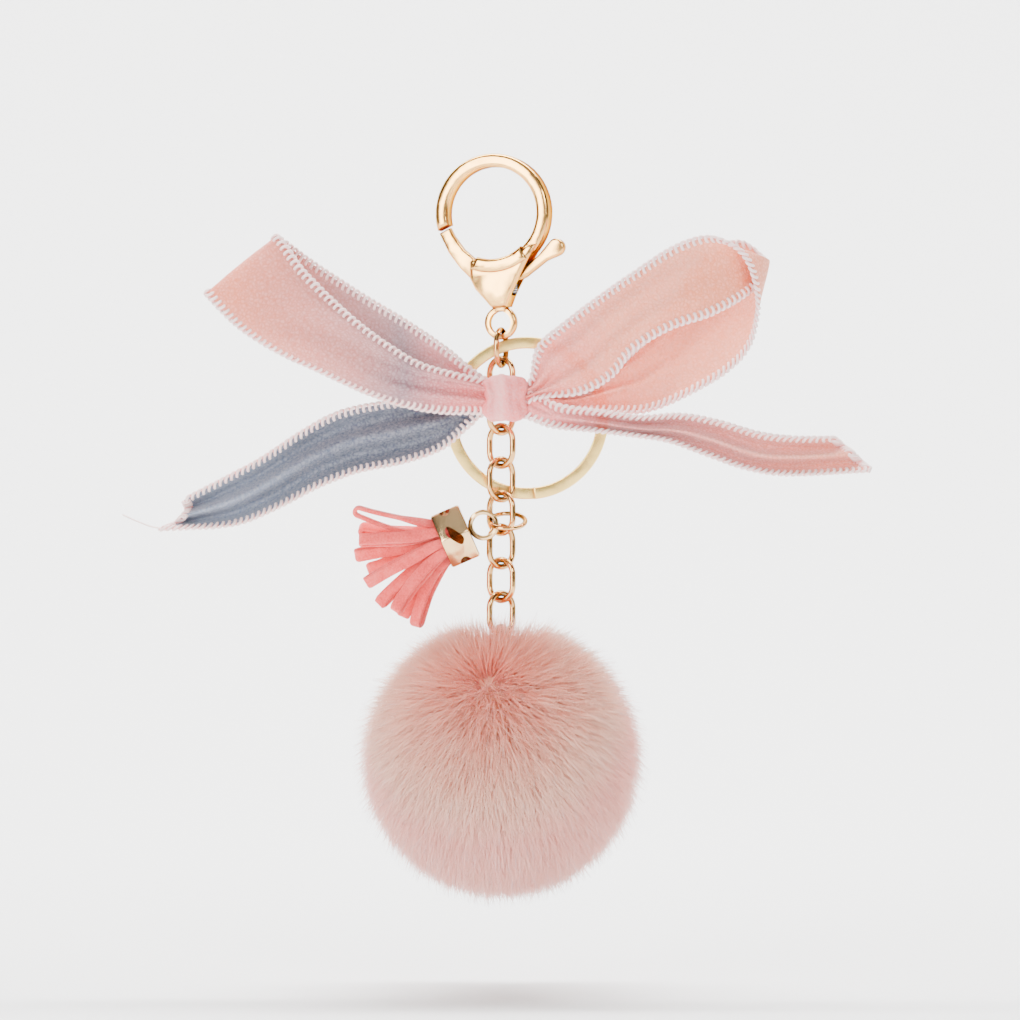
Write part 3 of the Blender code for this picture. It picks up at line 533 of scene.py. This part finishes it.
def pleat_depth(spanned, along):
    """How deep a tail's two lengthwise pleats are, for the full ribbon to lie in the width that it spans."""
    starts, full = PLEAT_OPENS
    opened = min(max((along - starts) / (full - starts), 0), 1)
    return opened * math.sqrt(max((RIBBON_WIDTH / 4) ** 2 - (spanned / 4) ** 2, 0))


def ribbon_rows(rails, gather, is_loop):
    """Rows of points across the cloth, with soft ripples, and folds that open out from the knot."""
    pulled = []
    for rail, up in zip(rails, (KNOT_GRIP, 0.0, -KNOT_GRIP)):
        inward = LEFT_INTO_KNOT if rail[0][0] < 0 else RIGHT_INTO_KNOT
        into_knot = (inward, KNOT_MIDDLE_Y, KNOT_MIDDLE_Z + up)
        pulled.append([into_knot, *rail, into_knot] if is_loop else [into_knot, *rail])
    lines = [smooth_path([Vector(p) * MM for p in rail], RAIL_STEPS) for rail in pulled]
    rows = []
    count = len(lines[0])
    for i in range(count):
        low, middle, high = (line[i] for line in lines)
        back = max(i - 1, 0)
        ahead = min(i + 1, count - 1)
        run = (lines[1][ahead] - lines[1][back]).normalized()
        out = run.cross(high - low).normalized()
        from_knot = min(i, count - 1 - i if is_loop else i) / (count * 0.35)
        gathers = gather * MM * math.exp(-((from_knot * 1.6) ** 2))
        deep = 0 if is_loop else pleat_depth((high - low).length, i / (count - 1))
        row = []
        for k in range(RIBBON_ACROSS + 1):
            t = k / RIBBON_ACROSS
            at = low * (1 - t) + high * t + (middle - (low + high) / 2) * 4 * t * (1 - t)
            wave = RIPPLE * math.sin(0.42 * i + 5 * t) * math.sin(0.13 * i + 2.1)
            folds = gathers * math.sin(t * math.pi * 5) * math.sin(math.pi * t) ** 0.5
            row.append(at + out * (wave + folds) - Vector((0, deep / 2 * math.cos(4 * math.pi * t), 0)))
        rows.append(row)
    return rows


def organza(name, stops, span, shade):
    """Sheer crimped cloth. Its tint runs along X over span, and shade is how opaque it is, 1 for a bunch."""
    cloth = Finish(name)
    place = cloth.place()
    warp = cloth.add("ShaderNodeTexNoise", {}, {"Vector": place, "Scale": 1500, "Detail": 3}, out="Fac")
    crepe = cloth.add(
        "ShaderNodeTexVoronoi", {"feature": "DISTANCE_TO_EDGE"}, {"Vector": place, "Scale": 1300}, out=0
    )
    crimp = cloth.between(crepe, 0.0, 0.35)
    drift = cloth.noise(55, 3)
    run = cloth.between(cloth.along(0, place), span[0] * MM, span[1] * MM)
    tint = cloth.ramp(run + (drift - 0.5) * 0.25, stops)
    light = cloth.blend(cloth.between(warp + crimp * 0.25, 0.35, 0.8), tint, (1.0, 0.95, 0.92))
    cloth.surface(Base_Color=cloth.blend(0.16, tint, light), Roughness=0.55 + warp * 0.2)
    if shade < 1:
        cloth.surface(Alpha=shade + crimp * 0.16 + warp * 0.08)
    cloth.surface(Sheen_Weight=0.2, Sheen_Roughness=0.4, Specular_IOR_Level=0.3)
    cloth.surface(Normal=cloth.bump(warp * 0.6 + crimp * 0.6, 0.12 * MM, 0.8))
    return cloth


def thread_finish():
    """Glossy overlock thread, with a deeper pink painted into its occluded hollows as painted shade, and near
    white on top of each stitch.
    """
    thread = Finish("overlock_thread")
    fibre = thread.noise(3500, 3)
    patch = thread.noise(160, 2)
    occlusion_shade = thread.add("ShaderNodeAmbientOcclusion", {"samples": 6}, {"Distance": 0.6 * MM}, out="AO")
    # Painted shade: the tint darkens to deep pink where the thread is occluded, with random patches over it.
    tint = thread.ramp(
        occlusion_shade * 0.75 + patch * 0.35,
        [(0.2, (0.90, 0.22, 0.22)), (0.5, (1.0, 0.48, 0.46)), (0.9, (1.0, 0.78, 0.75))],
    )
    thread.surface(Base_Color=tint, Roughness=0.45 + fibre * 0.3, Sheen_Weight=0.3)
    thread.surface(Normal=thread.bump(fibre, 0.08 * MM))
    return thread


overlock = thread_finish()
STITCH_PITCH = 1.25 * MM
STITCH_REACH = 0.95 * MM
STITCH_LIFT = 0.26 * MM
STITCH_LAG = 0.30 * MM
THREAD = 0.66 * MM
LOOSE_THREAD = 0.34 * MM


def stitched_edge(name, edge, inner):
    """Thread whipped over an edge: a scalloped coil, flattened against the cloth."""
    points = []
    travelled = 0.0
    for i in range(len(edge) - 1):
        a, b = edge[i], edge[i + 1]
        into = (inner[i] - a).normalized()
        run = b - a
        out = run.normalized().cross(into).normalized()
        pieces = max(2, round(run.length / (STITCH_PITCH / 10)))
        for k in range(pieces):
            turn = 2 * math.pi * (travelled + run.length * k / pieces) / STITCH_PITCH
            across = STITCH_REACH * (0.25 - math.cos(turn)) * 0.8
            lift = STITCH_LIFT * math.sin(turn)
            lag = run.normalized() * STITCH_LAG * math.sin(turn)
            points.append(a + run * k / pieces + into * across + out * lift + lag)
        travelled += run.length
    return piece(name, wire_curve(name, points, THREAD, False, 1), overlock, "link_2")


def strip_faces(row_count, across):
    """Quads over rows of across + 1 points each."""
    width = across + 1
    return [
        (i * width + k, i * width + k + 1, (i + 1) * width + k + 1, (i + 1) * width + k)
        for i in range(row_count - 1)
        for k in range(across)
    ]


def thicken(sheet, thickness):
    thick = sheet.modifiers.new("cloth", "SOLIDIFY")
    thick.thickness = thickness
    thick.offset = 0


def ribbon(node, rails, cloth, gather, is_loop):
    """A stretch of ribbon: the cloth and its stitched edges, in place of the frame's plain strip."""
    rows = ribbon_rows(rails, gather, is_loop)
    points = [p for row in rows for p in row]
    mesh = mesh_from("shown_" + node, points, strip_faces(len(rows), RIBBON_ACROSS))
    sheet = piece("shown_" + node, mesh, cloth, "link_2")
    thicken(sheet, CLOTH_THICK)
    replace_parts(sheet, node)
    for name, at, inside in (("upper", 0, 2), ("lower", -1, -3)):
        line = [row[at] for row in rows]
        inner = [row[inside] for row in rows]
        stitched_edge(f"{node}_{name}_stitches", line, inner)
    if not is_loop:
        stitched_edge(f"{node}_end_stitches", rows[-1], rows[-3])
    middle = [row[RIBBON_ACROSS // 2] for row in rows]
    length = sum((b - a).length for a, b in zip(middle, middle[1:]))


PEACH = (0.98, 0.27, 0.14)
ROSE = (0.92, 0.20, 0.16)
MAUVE = (0.30, 0.15, 0.18)
SLATE = (0.10, 0.12, 0.18)
left_cloth = organza(
    "organza_left_loop",
    [(0.0, (0.97, 0.25, 0.14)), (0.35, (0.74, 0.22, 0.18)), (0.7, MAUVE), (1.0, (0.92, 0.18, 0.17))],
    (-52, -4),
    0.74,
)
right_cloth = organza(
    "organza_right_loop", [(0.0, ROSE), (0.4, PEACH), (1.0, (0.98, 0.30, 0.15))], (6, 54), 0.74
)
# Painted shade: the slate and near black blues of the left tail stand in for the dark backdrop seen through
# its sheer cloth.
left_tail_cloth = organza(
    "organza_left_tail", [(0.0, (0.24, 0.28, 0.38)), (0.5, SLATE), (1.0, (0.06, 0.07, 0.11))], (-66, -4), 0.93
)
right_tail_cloth = organza(
    "organza_right_tail",
    [(0.0, (0.92, 0.18, 0.17)), (0.4, (0.80, 0.22, 0.19)), (1.0, (0.97, 0.30, 0.17))],
    (6, 74),
    0.72,
)
ribbon("ribbon_left_loop", LEFT_LOOP, left_cloth, 1.0, True)
ribbon("ribbon_right_loop", RIGHT_LOOP, right_cloth, 1.2, True)
ribbon("ribbon_left_tail", LEFT_TAIL, left_tail_cloth, 0.4, False)
ribbon("ribbon_right_tail", RIGHT_TAIL, right_tail_cloth, 0.4, False)
LOOSE_END = ((-65.6, -1.9, -72.3), (-68.4, -1.6, -71.9), (-71.4, -1.2, -70.8), (-74.2, -1.4, -69.5))
loose_end = [Vector(p) * MM for p in LOOSE_END]
thread_end = wire_curve("ribbon_left_thread_end", smooth_path(loose_end, 6), LOOSE_THREAD, False, 1)
piece("ribbon_left_thread_end", thread_end, overlock, "link_2")

# --- Knot of the bow ------------------------------------------------------------------------------------
# The ribbon is drawn up tight into pleats, passes over the middle of the bow and round behind the chain.
# The front is a bunched bundle with its folds running from edge to edge.

KNOT_AROUND = 96
KNOT_UP = 40

knot_low, knot_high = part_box("ribbon_knot")
KNOT_CENTRE = (knot_low + knot_high) / 2
KNOT_HALF = (knot_high - knot_low) / 2


def knot_mesh():
    """A rounded bundle with folds that gather at its waist."""
    rows = []
    for j in range(KNOT_UP + 1):
        v = math.pi * (j / KNOT_UP - 0.5)
        row = []
        for i in range(KNOT_AROUND):
            u = 2 * math.pi * i / KNOT_AROUND
            bulge = abs(math.cos(v)) ** 0.55
            x = math.copysign(abs(math.cos(u)) ** 0.75, math.cos(u)) * bulge
            y = math.copysign(abs(math.sin(u)) ** 0.8, math.sin(u)) * bulge
            z = math.copysign(abs(math.sin(v)) ** 0.8, math.sin(v))
            slant = x + 0.35 * z * abs(z)
            fold = math.sin(slant * 6.5 + 0.6) + 0.5 * math.sin(slant * 15 - 2 * z)
            crease = 1 + 0.13 * fold * bulge
            waist = 1 - 0.20 * math.exp(-((z / 0.4) ** 2))
            deep = y * crease * KNOT_HALF.y
            tall = z * KNOT_HALF.z * (1 + 0.04 * fold)
            row.append(KNOT_CENTRE + Vector((x * waist * KNOT_HALF.x, deep, tall)))
        rows.append(row)
    return lofted("shown_ribbon_knot", rows)


# Painted highlight: the lighter stop near the middle of the run is a pale band down the knot, which the tie
# shares.
knot_cloth = organza(
    "organza_knot",
    [
        (0.0, (0.92, 0.17, 0.17)),
        (0.4, (1.0, 0.36, 0.35)),
        (0.52, (0.94, 0.22, 0.22)),
        (1.0, (0.88, 0.15, 0.14)),
    ],
    (-2.8, 7.2),
    1,
)
knot = piece("shown_ribbon_knot", knot_mesh(), knot_cloth, "link_2")
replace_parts(knot, "ribbon_knot")

TIE_R = (4.9 * MM, 4.4 * MM)
TIE_MIDDLE = Vector((1.5, -0.3, -46.4)) * MM
TIE_HALF_WIDTH = 2.0 * MM
TIE_HALF_TURN = 118  # degrees
TIE_AROUND = 60
TIE_ACROSS = 16
TIE_PLEAT = 0.18 * MM
TIE_THICK = 0.3 * MM


def tie_rows():
    """The turn behind the chain, bunched narrow at the back and opening towards the knot."""
    rows = []
    for i in range(TIE_AROUND + 1):
        s = 2 * i / TIE_AROUND - 1
        turn = math.radians(90 + TIE_HALF_TURN * s)
        x = TIE_MIDDLE.x + TIE_R[0] * math.cos(turn)
        y = TIE_MIDDLE.y + TIE_R[1] * math.sin(turn)
        out = Vector((math.cos(turn), math.sin(turn), 0))
        row = []
        for k in range(TIE_ACROSS + 1):
            t = 2 * k / TIE_ACROSS - 1
            pleat = TIE_PLEAT * math.sin(7 * t + 1.5 * s)
            z = TIE_MIDDLE.z + TIE_HALF_WIDTH * (1 + 0.45 * abs(s)) * t
            row.append(Vector((x, y, z)) + out * pleat)
        rows.append(row)
    return rows


rows = tie_rows()
tie_mesh = mesh_from("shown_ribbon_tie", [p for row in rows for p in row], strip_faces(len(rows), TIE_ACROSS))
tie = piece("shown_ribbon_tie", tie_mesh, knot_cloth, "link_2")
thicken(tie, TIE_THICK)
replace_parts(tie, "ribbon_tie")

# --- Tassel ---------------------------------------------------------------------------------------------
# Suede strips folded in half, their ends crimped into a six-sided cast cap. The cap's own eye hangs on a
# round jump ring through one link of the chain.

JUMP_CENTRE = Vector((2.7, -3.4, -70.8)) * MM
JUMP_MEAN_R = 3.55 * MM
JUMP_WIRE = 0.9 * MM
JUMP_LEAN = math.radians(25)
JUMP_STEPS = 56

jump_place = Matrix.Translation(JUMP_CENTRE) @ Matrix.Rotation(JUMP_LEAN, 4, "X")
jump_points = []
for step in range(JUMP_STEPS):
    turn = 2 * math.pi * step / JUMP_STEPS
    jump_points.append(jump_place @ Vector((JUMP_MEAN_R * math.cos(turn), JUMP_MEAN_R * math.sin(turn), 0)))
jump_curve = wire_curve("shown_jump_ring", jump_points, JUMP_WIRE)
jump = piece("shown_jump_ring", jump_curve, old_gold, "jump_ring")
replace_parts(jump, "tassel_jump_ring")

# Its near black second colour is painted shade for the hollows of the cap.
cap_gold = plate_finish(
    "cap_gold_plate", (1.0, 0.66, 0.32), (0.06, 0.02, 0.006), (0.06, 0.02, 0.01), 0.2, 0.7
)
dress("tassel_cap", cap_gold)

suede = Finish("salmon_suede")
nap = suede.noise(2600, 5, 0.65)
wear = suede.noise(330, 3)
suede_tint = suede.ramp(
    nap * 0.6 + wear * 0.5,
    [(0.3, (0.66, 0.045, 0.045)), (0.55, (0.93, 0.11, 0.10)), (0.8, (1.0, 0.21, 0.19))],
)
suede.surface(
    Base_Color=suede_tint,
    Roughness=0.95,
    Sheen_Weight=0.25,
    Sheen_Roughness=0.5,
    Specular_IOR_Level=0.1,
    Normal=suede.bump(nap, 0.16 * MM, 0.9),
)

CAP_CENTRE = Vector((-7.7, -3.4, -73.8)) * MM
CAP_TILT = math.radians(23.6)
CAP_LENGTH = 6.0 * MM
SUEDE_WIDTH = 1.9 * MM
SUEDE_THICK = 0.8 * MM
SUEDE_FOLD = 0.7 * MM  # from the middle of a loop to either leg
SUEDE_EDGE = 0.2 * MM
SUEDE_STEPS = 18
SUEDE_CURL = 0.06 * MM
CAP_GRIP = 2.0 * MM  # how deep in the cap the strips start
STRAIGHT = 5.6 * MM  # how far they run before they fan out


def suede_strip(name, root, bend, end, twist, opened):
    """One strip with softly rounded edges: out along a bent line, round its fold and back.

    twist turns the loop about its own length, and opened parts its legs towards the fold.
    """
    legs = []
    for i in range(SUEDE_STEPS + 1):
        t = i / SUEDE_STEPS
        at = root * (1 - t) ** 2 + bend * 2 * t * (1 - t) + end * t * t
        along = ((bend - root) * (1 - t) + (end - bend) * t).normalized()
        turned = Matrix.Rotation(math.radians(twist) * min(1.0, 1.6 * t), 3, along)
        away = turned @ Vector((0, 1, 0))
        half = SUEDE_FOLD * (1 + opened * math.sin(math.pi * min(1.0, 0.15 + 0.75 * t)) ** 2 * t)
        legs.append((at, turned @ Vector((-along.z, 0, along.x)), along, away, half))
    stations = [(at - away * half, wide, -away) for at, wide, along, away, half in legs]
    at, wide, along, away, half = legs[-1]
    for a in range(-75, 76, 15):
        turn = math.radians(a)
        out = along * math.cos(turn) + away * math.sin(turn)
        stations.append((at + out * half, wide, out))
    stations += [(at + away * half, wide, away) for at, wide, along, away, half in legs[::-1]]
    section = rounded_section(SUEDE_WIDTH, SUEDE_THICK, SUEDE_EDGE, 2)
    rows = []
    for i, (middle, wide, out) in enumerate(stations):
        curl = SUEDE_CURL * math.sin(0.7 * i + twist)
        from_cap = min(i, len(stations) - 1 - i) / SUEDE_STEPS
        spread = 0.84 + 0.4 * min(1.0, 1.8 * from_cap)
        rows.append([middle + wide * (x * spread + curl) + out * y for x, y in section])
    return lofted(name, rows)


out_of_cap = Vector((-math.cos(CAP_TILT), 0, -math.sin(CAP_TILT)))
across_cap = Vector((-out_of_cap.z, 0, out_of_cap.x))
mouth = CAP_CENTRE + out_of_cap * CAP_LENGTH / 2
# Each layer: its depth, then each strip's offset, lean, length and twist.
layers = (
    (-2.8, (-1.95, 0.05, 1.95), (24, -6, -34), (11.2, 12.4, 11.4), (20, -12, 25)),
    (0.0, (-3.4, -1.2, 1.2, 3.4), (44, 14, -22, -52), (12.6, 12.6, 12.8, 11.6), (82, -25, 18, 30)),
    (2.8, (-1.95, 0.05, 1.95), (34, 4, -42), (11.6, 11.2, 11.8), (55, 10, -20)),
)
number = 1
for depth, offsets, leans, lengths, twists in layers:
    for offset, lean, length, twist in zip(offsets, leans, lengths, twists):
        root = mouth - out_of_cap * CAP_GRIP + across_cap * offset * MM + Vector((0, depth * MM, 0))
        bend = root + out_of_cap * STRAIGHT
        way = Matrix.Rotation(math.radians(lean), 3, "Y") @ out_of_cap
        name = f"shown_tassel_loop_{number}"
        shape = suede_strip(name, root, bend, bend + way * length * MM, twist, abs(twist) / 60)
        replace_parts(piece(name, shape, suede, "tassel"), f"tassel_loop_{number}")
        number += 1

# --- Pompom ---------------------------------------------------------------------------------------------
# Faux rabbit fur sewn into a ball over loose filling. The fibres are dense and combed, coral at the crown
# where they part and peach over the middle; the pale grey at the tips of the longest is painted shade.

POM_CENTRE = Vector((1.43, -0.46, -118.0)) * MM
PELT_R = 22.5 * MM
FUR_R = 28.3 * MM
CROWN = Vector((-0.12, -0.72, 0.68)).normalized()
FIBRES = 44000
FUR_PARTS = 8
FIBRE_R = 0.085 * MM
TOP_OPENS = 0.965  # upright share of a direction above which the cord's well has no fur
WELL_DEPTH = 9 * MM
FIRST_SEED = 40

pelt = Finish("fur_pelt")
clump = pelt.noise(420, 4, 0.6)
pelt.surface(Base_Color=pelt.ramp(clump, [(0.3, (0.78, 0.24, 0.14)), (0.7, (0.92, 0.40, 0.26))]))
pelt.surface(Roughness=0.95, Sheen_Weight=0.4, Normal=pelt.bump(clump, 0.8 * MM))
pelt_work = bmesh.new()
bmesh.ops.create_icosphere(pelt_work, subdivisions=5, radius=PELT_R)
for corner in pelt_work.verts:
    way = corner.co.normalized()
    tuft = 0.5 * math.sin(31 * way.x + 3) * math.sin(29 * way.y) * math.sin(33 * way.z + 1)
    well = max(0.0, (way.z - TOP_OPENS) / (1 - TOP_OPENS))
    corner.co = way * (PELT_R + tuft * MM - WELL_DEPTH * well) + POM_CENTRE
pelt_mesh = bpy.data.meshes.new("shown_pelt")
pelt_work.to_mesh(pelt_mesh)
pelt_work.free()
pelt_mesh.shade_smooth()
pelt_piece = piece("shown_pelt", pelt_mesh, pelt, "pompom")
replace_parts(pelt_piece, "pompom_fur")

fur = Finish("faux_fur")
place = fur.place()
depth = fur.add(
    "ShaderNodeVectorMath", {"operation": "DISTANCE"}, {0: place, 1: tuple(POM_CENTRE)}, out="Value"
)
tip = fur.between(depth, 22 * MM, 28.6 * MM)
crown_at = tuple(POM_CENTRE + CROWN * 25 * MM)
to_crown = fur.add("ShaderNodeVectorMath", {"operation": "DISTANCE"}, {0: place, 1: crown_at}, out="Value")
crown = fur.between(to_crown, 2 * MM, 34 * MM)
patch = fur.noise(150, 4, 0.6)
strand = fur.noise(1700, 2)
root_tint = fur.ramp(
    crown + (patch - 0.5) * 0.35,
    [
        (0.0, (0.90, 0.13, 0.07)),
        (0.35, (0.98, 0.24, 0.15)),
        (0.7, (1.0, 0.36, 0.25)),
        (1.0, (0.97, 0.32, 0.26)),
    ],
)
tip_tint = fur.ramp(
    crown + (patch - 0.5) * 0.25,
    [
        (0.0, (1.0, 0.26, 0.15)),
        (0.4, (1.0, 0.48, 0.33)),
        (0.8, (1.0, 0.66, 0.50)),
        (1.0, (1.0, 0.50, 0.42)),
    ],
)
body_tint = fur.blend(tip, root_tint, tip_tint)
# Painted shade: the outermost millimetres of the longest fibres turn a pale lavender grey.
painted_tip_shade = fur.between(depth, 28.4 * MM, 30.2 * MM)
streaked = fur.blend((strand - 0.3) * 0.6, body_tint, (1.0, 0.74, 0.62))
fur.surface(Base_Color=fur.blend(painted_tip_shade, streaked, (0.50, 0.47, 0.56)))
fur.surface(Roughness=0.75, Sheen_Weight=0.25, Specular_IOR_Level=0.25)


def fibres(name, seed, count):
    """Fine tapered fibres, three-sided, rooted in the pelt, combed away from the crown and down."""
    rng = np.random.default_rng(seed)
    way = rng.normal(size=(count * 2, 3))
    way /= np.linalg.norm(way, axis=1)[:, None]
    way = way[way[:, 2] < TOP_OPENS][:count]
    count = len(way)
    x, y, z = way.T
    tufts = 0.5 + 0.5 * np.sin(x * 23 + 4 * z) * np.sin(y * 21 + 2) * np.sin(z * 25)
    long = rng.random(count)
    reach = FUR_R + (tufts - 0.6) * 0.9 * MM + (long - 0.5) * 1.6 * MM + np.where(long > 0.93, 1.1 * MM, 0)
    crown_way = np.array(CROWN)
    comb = way * (way @ crown_way)[:, None] - crown_way
    comb /= np.linalg.norm(comb, axis=1)[:, None] + 1e-6
    down = np.array([0.0, 0.0, -1.0]) - way * (-way[:, 2])[:, None]
    swirl = np.cross(way, comb)
    lean = comb * 0.55 + down * 0.2 + swirl * rng.normal(0, 0.16, count)[:, None]
    lean += rng.normal(0, 0.14, (count, 3))
    levels = np.array([0.0, 0.4, 0.75, 1.0])
    widths = np.array([1.0, 0.85, 0.5, 0.08]) * FIBRE_R
    side = np.cross(way, rng.normal(size=(count, 3)))
    side /= np.linalg.norm(side, axis=1)[:, None]
    other = np.cross(way, side)
    points = np.zeros((count, 4, 3, 3))
    for level in range(4):
        t = levels[level]
        radius = (PELT_R - 0.6 * MM) * (1 - t) + reach * t
        heading = way + lean * 0.30 * t**1.5
        heading /= np.linalg.norm(heading, axis=1)[:, None]
        middle = heading * radius[:, None] + np.array(POM_CENTRE)
        for k in range(3):
            turn = 2 * math.pi * k / 3
            rim = side * math.cos(turn) + other * math.sin(turn)
            points[:, level, k] = middle + rim * widths[level]
    quads = []
    for level in range(3):
        for k in range(3):
            after = (k + 1) % 3
            quads.append((level * 3 + k, level * 3 + after, level * 3 + 3 + after, level * 3 + 3 + k))
    offsets = (np.arange(count) * 12)[:, None, None]
    quads = (np.array(quads)[None] + offsets).reshape(-1, 4)
    root_caps = np.array([[[2, 1, 0]]]) + offsets
    tip_caps = np.array([[[9, 10, 11]]]) + offsets
    caps = np.concatenate([root_caps, tip_caps]).reshape(-1, 3)
    mesh = bpy.data.meshes.new(name)
    mesh.vertices.add(count * 12)
    mesh.vertices.foreach_set("co", points.reshape(-1).astype(np.float32))
    loops = np.concatenate([quads.reshape(-1), caps.reshape(-1)])
    mesh.loops.add(len(loops))
    mesh.loops.foreach_set("vertex_index", loops.astype(np.int32))
    starts = np.concatenate([np.arange(len(quads)) * 4, len(quads) * 4 + np.arange(len(caps)) * 3])
    mesh.polygons.add(len(starts))
    mesh.polygons.foreach_set("loop_start", starts.astype(np.int32))
    mesh.update(calc_edges=True)
    mesh.shade_smooth()
    return mesh


for batch in range(FUR_PARTS):
    name = f"shown_fur_{batch + 1}"
    piece(name, fibres(name, FIRST_SEED + batch, FIBRES // FUR_PARTS), fur, "pompom")

core_stuff = Finish("polyester_filling")
fluff = core_stuff.noise(800, 5, 0.7)
core_stuff.surface(Base_Color=core_stuff.ramp(fluff, [(0.3, (0.85, 0.84, 0.82)), (0.7, (0.95, 0.94, 0.92))]))
core_stuff.surface(Roughness=0.95, Normal=core_stuff.bump(fluff, 0.5 * MM))
dress("pompom_core", core_stuff)

# The cord is twisted polyester, knotted into the ball and drawn up through the last link.

cord_twist = Finish("twisted_cord")
wave = {"Vector": cord_twist.place(), "Scale": 420, "Distortion": 1.5}
strands = cord_twist.add("ShaderNodeTexWave", {}, wave, out="Fac")
cord_tint = cord_twist.ramp(strands, [(0.2, (0.62, 0.36, 0.30)), (0.8, (0.88, 0.62, 0.54))])
cord_twist.surface(Base_Color=cord_tint, Roughness=0.85, Normal=cord_twist.bump(strands, 0.2 * MM))
dress("pompom_cord", cord_twist)
